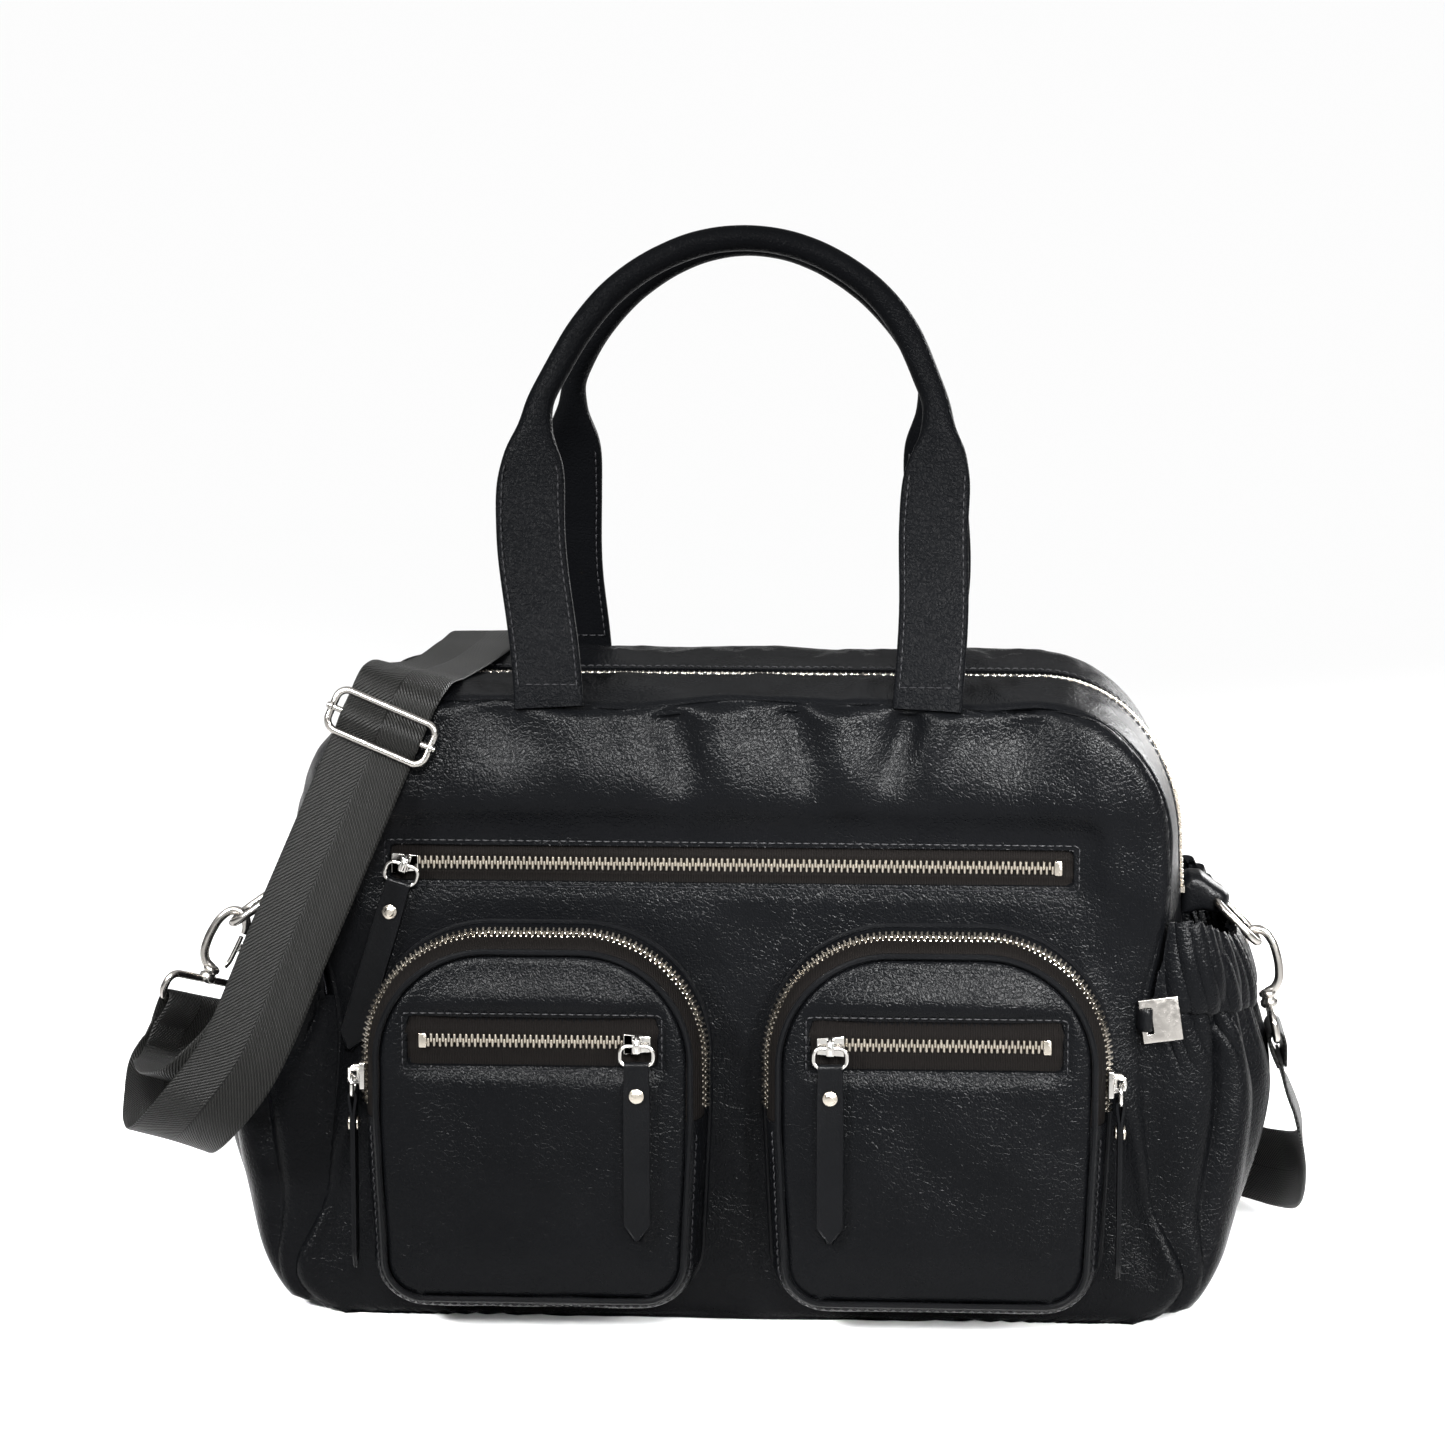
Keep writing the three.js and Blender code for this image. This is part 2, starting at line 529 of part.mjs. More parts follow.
function ringAndHook(name, side) {
  const hang = HANG[name];
  const rootX = wallX(RING.z, 0) + GAP;
  const roll = 5;
  const holder = new THREE.Shape([
    flat(rootX, RING.z - 3), flat(rootX, RING.z + roll + 1.4), flat(RING.x, RING.z + roll),
  ]);
  holder.absarc(RING.x, RING.z, roll, Math.PI / 2, -Math.PI / 2, true);
  holder.holes.push(new THREE.Path().absarc(RING.x, RING.z, RING.wire + 0.5, 0, 2 * Math.PI));
  const loop = plate(holder, -9, 9, 8);

  const toRing = turned(RING.x, RING.z, hang.ring).multiply(new THREE.Matrix4().makeRotationZ(-Math.PI / 2));
  const ringPath = roundedLoop(RING.half, 0, RING.length, 8);
  const ring = wire(ringPath, vec(0, 0, 1), RING.wire, true).applyMatrix4(toRing);

  // Hook frame: +Y up along the shank, X across it, and the ring's outer bar passes at the origin.
  const barX = RING.x + RING.length * Math.cos(hang.ring);
  const barZ = RING.z - RING.length * Math.sin(hang.ring);
  const toHook = turned(barX, barZ, -hang.hook).multiply(new THREE.Matrix4().makeRotationX(Math.PI / 2));
  const crook = [
    [0, -26], [6.4, -21], [7.4, -10], [6.4, -2], [3.6, 3.2], [0, 4.6], [-3.8, 3], [-6.4, -2.5],
  ];
  const hookWire = wire(crook.map(([x, y]) => vec(x, y, 0)), vec(0, 0, 1), HOOK.wire, false);
  const barrel = new THREE.CylinderGeometry(3.6, 3.6, 8, 10).translate(0, 4 - HOOK.base, 0);
  const eyeY = -HOOK.base - HOOK.eyeDepth;
  const eyePath = roundedLoop(HOOK.eye / 2, eyeY, -HOOK.base, 5);
  const eye = wire(eyePath, vec(0, 0, 1), HOOK.eyeWire, true).rotateY(hang.eye);
  const gate = box([-7.6, -4.6], [-22, -5.4], [-1.4, 1.4]);

  const bar = vec(Math.cos(hang.eye), 0, -Math.sin(hang.eye));
  const out = vec(Math.sin(hang.eye), 0, Math.cos(hang.eye));
  const foldHalf = [[1.6, -13], [2.9, -7], [3.5, -1.5], [2.6, 2.4]];
  const fold = [...foldHalf, [0, 3.7], ...foldHalf.map(([a, b]) => [-a, b]).reverse()];
  const wrap = fold.map(([a, b]) => [out.clone().multiplyScalar(a).add(vec(0, eyeY + b, 0)), bar]);

  const pieces = [
    [`ring_loop_${name}`, loop, leather],
    [`d_ring_${name}`, ring, nickel],
    [`snap_hook_${name}`, joined(hookWire, barrel, eye).applyMatrix4(toHook), nickel],
    [`hook_gate_${name}`, gate.applyMatrix4(toHook), nickel],
    [`strap_end_${name}`, ribbon(wrap, STRAP.width, STRAP.thick, 1).applyMatrix4(toHook), webbing],
  ];
  for (const [node, geometry, material] of pieces) {
    if (side < 0) mirror(geometry);
    add(node, geometry, material);
  }
}

ringAndHook('left', -1);
ringAndHook('right', 1);

// ---- handles ------------------------------------------------------------------------------------
// Half of the handle's centre line in its own leaning plane: across, up, half width and half thickness.
const { tab, grip } = HANDLE;
const handleHalf = [
  [85, 5, ...tab], [88, 40, ...tab], [91, 78, ...tab], [93.5, 104, 14.5, 3.4], [95, 120, 9, 4.6],
  [94, 134, 6.4, 5.6], [88, 150, ...grip], [77, 168, ...grip], [60, 187, ...grip], [40, 201, ...grip],
  [20, 209, ...grip],
];

function handle(name, side) {
  const left = handleHalf.map(([x, ...rest]) => [-x, ...rest]);
  const stations = [...left, [0, 211.5, ...grip], ...handleHalf.slice().reverse()];
  const rings = stations.map(([x, up, half, thick], i) => {
    const [a, b] = [stations[Math.max(i - 1, 0)], stations[Math.min(i + 1, stations.length - 1)]];
    const run = flat(b[0] - a[0], b[1] - a[1]).normalize();
    return Array.from({ length: HANDLE.sides }, (_, k) => {
      const t = (2 * Math.PI * (k + 0.5)) / HANDLE.sides;
      const power = half > 12 ? 0.45 : 1;
      const [c, s] = [Math.cos(t), Math.sin(t)];
      const across = half * Math.sign(c) * Math.abs(c) ** power;
      const out = thick * Math.sign(s) * Math.abs(s) ** power;
      const px = x + run.y * across;
      const py = up - run.x * across;
      return vec(px, py * Math.sin(HANDLE.lean) + out * Math.cos(HANDLE.lean),
        py * Math.cos(HANDLE.lean) - out * Math.sin(HANDLE.lean));
    });
  });
  const geometry = loft(rings).translate(0, -HALF_DEPTH + 0.6, HEIGHT + 1.5);
  if (side > 0) geometry.rotateZ(Math.PI);
  add(name, geometry, leather);
}

handle('front_handle', -1);
handle('rear_handle', 1);

// ---- shoulder strap -----------------------------------------------------------------------------
// From the left hook, round a low loop, up the straight front run, over the top and down behind to the
// right hook.
const runFoot = vec(-221, -123, 128);
const runHead = vec(-151.5, -92.5, 291);
const runWide = vec(1, 0, -0.42);
const onRun = (t) => [runFoot.clone().lerp(runHead, t), runWide];

const route = [
  [vec(-268.1, 1.2, 111.9), vec(0.64, 0.71, -0.3)], [vec(-271.6, 1.5, 104.6), vec(0.64, 0.71, -0.3)],
  [vec(-274, -6, 94), vec(0.75, 0.55, -0.3)], [vec(-271, -30, 86), vec(0.93, 0.25, -0.25)],
  [vec(-265, -66, 82.5), vec(1, 0.05, -0.2)], [vec(-255, -100, 86), vec(1, 0, -0.3)],
  [vec(-239.5, -119.5, 103), vec(1, 0, -0.38)],
  onRun(0), onRun(0.33), onRun(0.66), onRun(0.92), onRun(1),
  [vec(-147.5, -77, 296), vec(1, -0.1, -0.28)], [vec(-144, -46, 292.5), vec(1, -0.15, -0.14)],
  [vec(-137, 0, 290), vec(1, -0.15, 0)], [vec(-130, 50, 291), vec(1, -0.15, 0)],
  [vec(-126, 82, 291), vec(1, -0.15, 0.05)], [vec(-124, 97, 276), vec(1, 0, 0.1)],
  [vec(-116, 102, 232), vec(1, 0, 0.2)], [vec(-98, 109, 170), vec(1, 0, 0.4)],
  [vec(-64, 126, 100), vec(0.9, 0, 0.6)], [vec(-16, 146, 50), vec(0.6, 0, 0.8)],
  [vec(46, 158, 24), vec(0.15, 0, 1)], [vec(120, 162, 20.5), vec(0, 0, 1)],
  [vec(190, 160, 20), vec(0, 0, 1)], [vec(232, 146, 20), vec(0, 0, 1)],
  [vec(256, 112, 23), vec(0, 0.15, 1)], [vec(264, 66, 36), vec(0, 0.6, 0.8)],
  [vec(262, 28, 60), vec(0, 0.93, 0.36)], [vec(255.5, 5, 84), vec(0, 1, 0.1)],
  [vec(251.4, 0, 95), vec(0, 1, 0)], [vec(249.8, 0, 103), vec(0, 1, 0)],
];
add('strap', ribbon(route, STRAP.width, STRAP.thick, 3), webbing);

const behind = vec(0, 2.8, 0);
const underRun = (t) => [runFoot.clone().lerp(runHead, t).add(behind), runWide];
const underlayer = [
  underRun(0.86), underRun(0.6), underRun(0.3), underRun(0.04), [vec(-236, -115, 116), vec(1, 0, -0.38)],
  [vec(-251, -92, 109), vec(1, 0, -0.3)], [vec(-262, -54, 106), vec(0.97, 0.15, -0.25)],
  [vec(-264, -28, 102), vec(0.8, 0.45, -0.25)], [vec(-265.8, -9, 100.6), vec(0.7, 0.65, -0.3)],
  [vec(-268.6, -2.5, 103.6), vec(0.64, 0.71, -0.3)], [vec(-266.9, -1.5, 109.8), vec(0.64, 0.71, -0.3)],
];
add('strap_underlayer', ribbon(underlayer, STRAP.width, STRAP.thick, 2), webbing);

const buckleUp = runHead.clone().sub(runFoot).normalize();
const buckleAcross = runWide.clone().addScaledVector(buckleUp, -runWide.dot(buckleUp)).normalize();
const buckleOut = buckleAcross.clone().cross(buckleUp);
const frameLoop = roundedLoop(BUCKLE.half, -BUCKLE.height / 2, BUCKLE.height / 2, 4);
const frame = wire(frameLoop, vec(0, 0, 1), BUCKLE.wire, true);
const centreBar = new THREE.CylinderGeometry(BUCKLE.bar, BUCKLE.bar, 2 * BUCKLE.half, 8).rotateZ(Math.PI / 2);
const stand = STRAP.thick / 2 + BUCKLE.wire + 3 * GAP;
const buckleAt = runFoot.clone().lerp(runHead, BUCKLE.up).addScaledVector(buckleOut, stand);
const toBuckle = new THREE.Matrix4().makeBasis(buckleAcross, buckleUp, buckleOut).setPosition(buckleAt);
add('strap_buckle', joined(frame, centreBar).applyMatrix4(toBuckle), nickel);

export default bag;
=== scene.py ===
"""Looks for the diaper bag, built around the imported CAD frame. Metres, +Z up, -Y out of the front."""
import bpy
import bmesh
import numpy as np
from mathutils import Matrix, Vector, noise


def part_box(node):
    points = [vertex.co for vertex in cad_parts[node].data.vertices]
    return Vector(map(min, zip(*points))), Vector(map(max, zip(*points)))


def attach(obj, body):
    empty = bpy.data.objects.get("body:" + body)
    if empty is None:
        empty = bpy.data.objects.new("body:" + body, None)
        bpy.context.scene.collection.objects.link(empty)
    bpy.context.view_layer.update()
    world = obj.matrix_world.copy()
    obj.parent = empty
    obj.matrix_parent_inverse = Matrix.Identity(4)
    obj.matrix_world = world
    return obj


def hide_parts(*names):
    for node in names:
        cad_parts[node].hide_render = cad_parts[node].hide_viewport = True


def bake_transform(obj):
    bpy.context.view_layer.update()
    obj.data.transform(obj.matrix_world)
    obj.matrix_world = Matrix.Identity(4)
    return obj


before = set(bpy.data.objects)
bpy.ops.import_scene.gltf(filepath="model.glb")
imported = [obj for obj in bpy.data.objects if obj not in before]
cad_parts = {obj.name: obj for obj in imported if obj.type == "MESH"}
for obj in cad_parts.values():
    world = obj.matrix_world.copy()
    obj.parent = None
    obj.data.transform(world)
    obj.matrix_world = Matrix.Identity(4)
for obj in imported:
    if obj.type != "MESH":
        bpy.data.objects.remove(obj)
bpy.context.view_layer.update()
scene = bpy.context.scene
SIDES = ((-1, "left"), (1, "right"))

# ---- camera -----------------------------------------------------------------------------------
TARGET = Vector((-0.0113, 0, 0.262))
CAMERA_AT = Vector((0.1023, -2.1669, 0.6251))
LENS = 118.0

def make_camera():
    camera = bpy.data.objects.new("camera", bpy.data.cameras.new("camera"))
    scene.collection.objects.link(camera)
    camera.data.lens = LENS
    camera.data.clip_end = 200
    camera.location = CAMERA_AT
    camera.rotation_euler = (TARGET - CAMERA_AT).to_track_quat("-Z", "Y").to_euler()
    scene.camera = camera

make_camera()

# ---- small helpers ----------------------------------------------------------------------------
def vec(*numbers):
    return np.array(numbers, float)

FORWARD = vec(0, -1, 0)

def unit(v):
    v = np.asarray(v, float)
    return v / np.maximum(np.linalg.norm(v, axis=-1, keepdims=True), 1e-12)

def lerp(a, b, t):
    return a + (b - a) * t

def xyz(x, y, z):
    """Points or directions from three arrays, or from arrays and single numbers."""
    return np.stack(np.broadcast_arrays(x, y, z), axis=-1)

def grid_of(u, v):
    return np.meshgrid(u, v, indexing="ij")

def lengths_along(points):
    """How far along a path each of its points is."""
    return np.concatenate([[0], np.cumsum(np.linalg.norm(np.diff(points, axis=0), axis=1))])

def smooth(a, b, x):
    t = np.clip((x - a) / (b - a), 0, 1)
    return t * t * (3 - 2 * t)

def bell(x, centre, width):
    return np.exp(-(((x - centre) / width) ** 2))

def ripple(points, scale, seed=0.0):
    """Smooth noise from -1 to 1 at each point, about 1/scale metres across."""
    flat = np.asarray(points, float).reshape(-1, 3) * scale + seed
    return np.array([noise.noise(p) for p in flat]).reshape(np.shape(points)[:-1])

def resample(points, step):
    """Rows along a path at an even spacing near step; a row's first three numbers are its place."""
    points = np.asarray(points, float)
    length = lengths_along(points[:, :3])
    count = max(int(round(length[-1] / step)), 1)
    at = np.linspace(0, length[-1], count + 1)
    return np.stack([np.interp(at, length, points[:, k]) for k in range(points.shape[1])], axis=1)

def curve_through(stations, per_span):
    """Centripetal Catmull-Rom through rows of numbers whose first three are a position."""
    p = np.asarray(stations, float)
    ends = np.vstack([2 * p[0] - p[1], p, 2 * p[-1] - p[-2]])
    out = []
    for i in range(len(p) - 1):
        a, b, c, d = ends[i:i + 4]
        gaps = [max(np.linalg.norm((q - r)[:3]) ** 0.5, 1e-6) for q, r in ((b, a), (c, b), (d, c))]
        t0, t1, t2, t3 = np.cumsum([0, *gaps])
        for t in np.linspace(t1, t2, per_span, endpoint=False):
            ab = lerp(a, b, (t - t0) / (t1 - t0))
            bc = lerp(b, c, (t - t1) / (t2 - t1))
            cd = lerp(c, d, (t - t2) / (t3 - t2))
            abc = lerp(ab, bc, (t - t0) / (t2 - t0))
            bcd = lerp(bc, cd, (t - t1) / (t3 - t1))
            out.append(lerp(abc, bcd, (t - t1) / (t2 - t1)))
    return np.array(out + [p[-1]])

class Mesh:
    """Points and faces gathered from several parts."""
    def __init__(self):
        self.points, self.faces, self.uv = [], [], []

    def add(self, points, faces, uv=None):
        base = len(self.points)
        self.points.extend(np.asarray(points, float).reshape(-1, 3).tolist())
        self.faces.extend([base + i for i in face] for face in faces)
        self.uv.extend(np.zeros((len(points), 2)).tolist() if uv is None else np.asarray(uv).tolist())
        return self

    def build(self, name, material, slot, body=None, sharp=40, replaces=()):
        mesh = bpy.data.meshes.new(name)
        mesh.from_pydata(self.points, [], self.faces)
        work = bmesh.new()
        work.from_mesh(mesh)
        bmesh.ops.recalc_face_normals(work, faces=work.faces)
        work.to_mesh(mesh)
        work.free()
        layer = mesh.uv_layers.new(name="UVMap")
        corner = np.zeros(len(mesh.loops), int)
        mesh.loops.foreach_get("vertex_index", corner)
        layer.data.foreach_set("uv", np.asarray(self.uv, float)[corner].ravel())
        mesh.shade_smooth()
        mesh.set_sharp_from_angle(angle=np.radians(sharp))
        return finish_piece(bpy.data.objects.new(name, mesh), material, body, replaces)

def finish_piece(obj, material, body=None, replaces=()):
    if not obj.users_collection:
        scene.collection.objects.link(obj)
    obj.data.materials.clear()
    obj.data.materials.append(material)
    if body:
        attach(obj, body)
    if replaces:
        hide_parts(*replaces)
    return obj

def grid_faces(nu, nv, wrap_u=False, wrap_v=False):
    us = range(nu if wrap_u else nu - 1)
    vs = range(nv if wrap_v else nv - 1)
    return [(i * nv + j, (i + 1) % nu * nv + j, (i + 1) % nu * nv + (j + 1) % nv, i * nv + (j + 1) % nv)
            for i in us for j in vs]

def normals_of(grid):
    return unit(np.cross(np.gradient(grid, axis=0), np.gradient(grid, axis=1)))

def slab(grid, thick, normals=None):
    """A closed sheet: grid is one face, the other lies thick behind it along the normals."""
    nu, nv = grid.shape[:2]
    back = grid - (normals_of(grid) if normals is None else normals) * thick
    top = grid_faces(nu, nv)
    offset = nu * nv
    faces = top + [[offset + i for i in reversed(face)] for face in top]
    rim = [i * nv for i in range(nu)] + [(nu - 1) * nv + j for j in range(1, nv)]
    rim += [i * nv + nv - 1 for i in range(nu - 2, -1, -1)] + list(range(nv - 2, 0, -1))
    for a, b in zip(rim, rim[1:] + rim[:1]):
        faces.append([a, b, offset + b, offset + a])
    return np.vstack([grid.reshape(-1, 3), back.reshape(-1, 3)]), faces

def sheet_mesh(grid, thick, normals=None):
    return Mesh().add(*slab(grid, thick, normals))

def sections_tube(rings, closed=False):
    """A tube through rings of points, with its ends closed unless it is a loop."""
    rings = np.asarray(rings, float)
    n, m = rings.shape[:2]
    faces = grid_faces(n, m, wrap_u=closed, wrap_v=True)
    if not closed:
        faces += [list(range(m))[::-1], [(n - 1) * m + j for j in range(m)]]
    return rings.reshape(-1, 3), faces

def wire(path, radius, up=(0, 0, 1), sides=8, closed=False, flat=1.0):
    """A round or oval wire along a path. flat scales it along the direction nearest to up."""
    path = np.asarray(path, float)
    if closed:
        run = unit(np.roll(path, -1, 0) - np.roll(path, 1, 0))
    else:
        run = unit(np.gradient(path, axis=0))
    side = unit(np.cross(run, np.asarray(up, float)))
    above = np.cross(side, run)
    turn = 2 * np.pi * (np.arange(sides) + 0.5) / sides
    r = np.broadcast_to(np.asarray(radius, float), len(path))[:, None, None]
    c, s = np.cos(turn)[:, None], np.sin(turn)[:, None]
    rings = path[:, None] + r * (side[:, None] * c + above[:, None] * s * flat)
    return sections_tube(rings, closed)

STITCH = {"length": 0.0030, "gap": 0.0009, "radius": 0.00036}

def stitch_row(mesh, path, normals, lift=0.0001):
    """Separate thread stitches along a path, each dipping into the surface at its ends."""
    length, gap, radius = STITCH["length"], STITCH["gap"], STITCH["radius"]
    both = resample(np.hstack([path, np.broadcast_to(normals, path.shape)]), 0.0012)
    at = lengths_along(both[:, :3])
    start = 0.0
    dips = np.array([-0.55, 0.45, 0.75, 0.45, -0.55])
    while start + length < at[-1]:
        t = np.linspace(start, start + length, 5)
        p = np.stack([np.interp(t, at, both[:, k]) for k in range(3)], axis=1)
        n = unit(np.stack([np.interp(t, at, both[:, k]) for k in range(3, 6)], axis=1))
        line = p + n * (lift + dips * radius)[:, None]
        mesh.add(*wire(line, radius * np.array([0.5, 0.95, 1, 0.95, 0.5]), up=n[2], sides=5))
        start += length + gap

def rounded_loop(half, y0, y1, r, steps=5):
    corners = ((half - r, y1 - r), (-half + r, y1 - r), (-half + r, y0 + r), (half - r, y0 + r))
    turns = [(quarter + k / steps) * np.pi / 2 for quarter in range(4) for k in range(steps + 1)]
    centres = np.repeat(corners, steps + 1, axis=0)
    return xyz(centres[:, 0] + r * np.cos(turns), centres[:, 1] + r * np.sin(turns), 0)

# ---- materials --------------------------------------------------------------------------------
class Nodes:
    """A short way to write a material's node tree."""
    def __init__(self, name, color, roughness, metallic=0.0, specular=0.5):
        self.material = bpy.data.materials.new(name)
        self.material.use_nodes = True
        self.tree = self.material.node_tree
        self.shader = self.tree.nodes["Principled BSDF"]
        self.set("Base Color", (*color, 1))
        self.set("Roughness", roughness)
        self.set("Metallic", metallic)
        self.set("Specular IOR Level", specular)
        self.place = self.node("ShaderNodeTexCoord").outputs["Object"]

    def set(self, socket, value):
        self.shader.inputs[socket].default_value = value

    def node(self, kind, links=None, **values):
        made = self.tree.nodes.new(kind)
        for key, value in values.items():
            if key in made.inputs:
                made.inputs[key].default_value = value
            else:
                setattr(made, key, value)
        for key, source in (links or {}).items():
            self.tree.links.new(source, made.inputs[key])
        return made

    def math(self, operation, a, b=0.0, c=0.0):
        made = self.node("ShaderNodeMath", operation=operation)
        for socket, value in zip(made.inputs, (a, b, c)):
            if isinstance(value, (int, float)):
                socket.default_value = value
            else:
                self.tree.links.new(value, socket)
        return made.outputs[0]

    def noise(self, scale, detail=3.0):
        return self.node("ShaderNodeTexNoise", {"Vector": self.place}, Scale=scale, Detail=detail).outputs["Fac"]

    def cells(self, scale, source, feature="F1"):
        return self.node("ShaderNodeTexVoronoi", {"Vector": source}, Scale=scale, feature=feature).outputs["Distance"]

    def ramp(self, value, low, high, to_low=0.0, to_high=1.0):
        made = self.node("ShaderNodeMapRange", {"Value": value})
        for key, number in (("From Min", low), ("From Max", high), ("To Min", to_low), ("To Max", to_high)):
            made.inputs[key].default_value = number
        return made.outputs["Result"]

    def colors(self, value, first, second):
        made = self.node("ShaderNodeMix", data_type="RGBA")
        # The mix node has one set of sockets for each type of data: 0, 6, 7 and 2 are those for colors.
        self.tree.links.new(value, made.inputs[0])
        made.inputs[6].default_value = (*first, 1)
        made.inputs[7].default_value = (*second, 1)
        self.tree.links.new(made.outputs[2], self.shader.inputs["Base Color"])

    def rough(self, value):
        self.tree.links.new(value, self.shader.inputs["Roughness"])

    def bump(self, height, strength, distance, before=None):
        links = {"Height": height}
        if before is not None:
            links["Normal"] = before
        made = self.node("ShaderNodeBump", links, Strength=strength, Distance=distance)
        self.tree.links.new(made.outputs["Normal"], self.shader.inputs["Normal"])
        return made.outputs["Normal"]

def warped(n, scale, amount):
    """The object's place, pushed about by noise, so that cells don't look regular."""
    push = n.node("ShaderNodeTexNoise", {"Vector": n.place}, Scale=scale, Detail=2.0)
    move = n.node("ShaderNodeVectorMath", {0: push.outputs["Color"]}, operation="MULTIPLY")
    move.inputs[1].default_value = (amount,) * 3
    return n.node("ShaderNodeVectorMath", {0: n.place, 1: move.outputs[0]}, operation="ADD").outputs[0]

def leather_material(name="leather", roughness=0.26, grain=0.95, gloss=0.040):
    n = Nodes(name, (0.0025, 0.0026, 0.0029), roughness, specular=gloss)
    place = warped(n, 240.0, 0.0020)
    pebble = n.ramp(n.cells(900.0, place), 0.0, 0.75)
    creases = n.ramp(n.cells(430.0, place, "DISTANCE_TO_EDGE"), 0.0, 0.16)
    patches = n.ramp(n.noise(34.0, 4.0), 0.25, 0.80, 0.25, 0.8)
    crinkle = n.math("MULTIPLY_ADD", n.math("SUBTRACT", 1.0, creases), patches, 0.0)
    fine = n.noise(1500.0, 2.0)
    height = n.math("SUBTRACT", n.math("MULTIPLY", fine, 0.35), n.math("MULTIPLY", pebble, 0.6))
    height = n.math("SUBTRACT", height, n.math("MULTIPLY", crinkle, 0.9))
    first = n.bump(height, 0.55 * grain, 0.00036)
    n.bump(n.noise(70.0, 3.0), 0.17 * grain, 0.0012, first)
    n.colors(n.noise(45.0, 4.0), (0.0010, 0.0011, 0.0013), (0.0018, 0.0019, 0.0022))
    n.rough(n.ramp(n.noise(28.0, 5.0), 0.3, 0.7, roughness - 0.03, roughness + 0.04))
    return n.material

def metal_material(name, color, roughness):
    n = Nodes(name, color, roughness, metallic=1.0)
    n.colors(n.noise(300.0, 3.0), tuple(0.90 * c for c in color), color)
    n.rough(n.ramp(n.noise(420.0, 4.0), 0.3, 0.7, roughness * 0.75, roughness * 1.4))
    n.bump(n.noise(700.0, 3.0), 0.06, 0.0002)
    return n.material

def webbing_material():
    """Herringbone: fine slanting threads that meet in a V down the middle. UV is across, along in metres."""
    n = Nodes("webbing", (0.007, 0.007, 0.0065), 0.46, specular=0.09)
    split = n.node("ShaderNodeSeparateXYZ", {"Vector": n.node("ShaderNodeTexCoord").outputs["UV"]})
    across, along = split.outputs["X"], split.outputs["Y"]
    from_middle = n.math("ABSOLUTE", across)
    slant = n.math("ADD", along, n.math("MULTIPLY", from_middle, 1.25))
    twill = n.math("SINE", n.math("MULTIPLY", slant, 2 * np.pi / 0.0021))
    threads = n.math("SINE", n.math("MULTIPLY", across, 2 * np.pi / 0.0011))
    weave = n.math("MULTIPLY_ADD", threads, 0.35, twill)
    middle = n.ramp(from_middle, 0.0, 0.0006)
    ridge = n.math("MULTIPLY", n.ramp(weave, -1.3, 1.3), middle)
    # The colour follows the weave's height: thread tops lighter, the grooves between threads and the line down the
    # middle darker. This darkening is painted shade in the weave's hollows; the noise adds a random tone on top.
    n.colors(n.math("MULTIPLY", ridge, n.ramp(n.noise(900.0), 0.2, 0.8, 0.6, 1.1)),
             (0.0004, 0.0004, 0.0004), (0.0095, 0.0095, 0.0088))
    n.bump(ridge, 0.9, 0.00045)
    n.set("Sheen Weight", 0.015)
    n.set("Sheen Roughness", 0.4)
    return n.material

def tape_material():
    n = Nodes("zip_tape", (0.006, 0.005, 0.0044), 0.75, specular=0.03)
    rib = n.node("ShaderNodeTexWave", {"Vector": n.place}, Scale=420.0, Distortion=0.4)
    # The colour follows the ribs' height, darker in their hollows: painted shade there, mixed with a random tone from
    # the noise.
    n.colors(n.math("MULTIPLY", rib.outputs["Fac"], n.noise(1100.0)),
             (0.0014, 0.0012, 0.0011), (0.0050, 0.0041, 0.0037))
    n.bump(n.math("ADD", rib.outputs["Fac"], n.noise(1700.0)), 0.6, 0.0003)
    return n.material

def cloth_material():
    n = Nodes("lining_cloth", (0.045, 0.045, 0.05), 0.9, specular=0.2)
    first = n.node("ShaderNodeTexWave", {"Vector": n.place}, Scale=300.0, bands_direction="X")
    second = n.node("ShaderNodeTexWave", {"Vector": n.place}, Scale=300.0, bands_direction="Z")
    weave = n.math("MULTIPLY", first.outputs["Fac"], second.outputs["Fac"])
    # The colour follows the weave's height: where the threads dip, it is painted darker as shade in the weave's
    # hollows.
    n.colors(weave, (0.03, 0.03, 0.034), (0.07, 0.07, 0.078))
    n.bump(weave, 0.4, 0.0003)
    return n.material

def thread_material():
    n = Nodes("thread", (0.006, 0.006, 0.007), 0.5, specular=0.12)
    n.colors(n.noise(2500.0), (0.003, 0.003, 0.0035), (0.010, 0.010, 0.011))
    n.bump(n.noise(4000.0), 0.4, 0.0001)
    return n.material

LEATHER = leather_material()
SMOOTH_LEATHER = leather_material("leather_trim", 0.30, 0.45, 0.07)
HANDLE_LEATHER = leather_material("handle_leather", 0.31, 1.1, 0.010)
NICKEL = metal_material("nickel", (0.62, 0.60, 0.57), 0.17)
TEETH = metal_material("zip_teeth", (0.47, 0.43, 0.37), 0.22)
DARK_NICKEL = metal_material("buckle_nickel", (0.40, 0.38, 0.355), 0.20)
WEBBING = webbing_material()
TAPE = tape_material()
CLOTH = cloth_material()
THREAD = thread_material()

# ---- shoulder strap ---------------------------------------------------------------------------
# The route's points and the direction of the webbing's width at each.
STRAP_WIDTH, STRAP_THICK = 0.038, 0.0016
RUN_FOOT, RUN_HEAD = vec(-0.221, -0.123, 0.128), vec(-0.1515, -0.0925, 0.291)
RUN_WIDE = vec(1, 0, -0.42)
# The width's direction at the left hook, and how far behind the strap its doubled layer lies.
LEFT_WIDE, BEHIND = (0.64, 0.71, -0.3), 0.0028

def on_run(t, behind=0.0):
    return (*(lerp(RUN_FOOT, RUN_HEAD, t) + vec(0, behind, 0)), *RUN_WIDE)

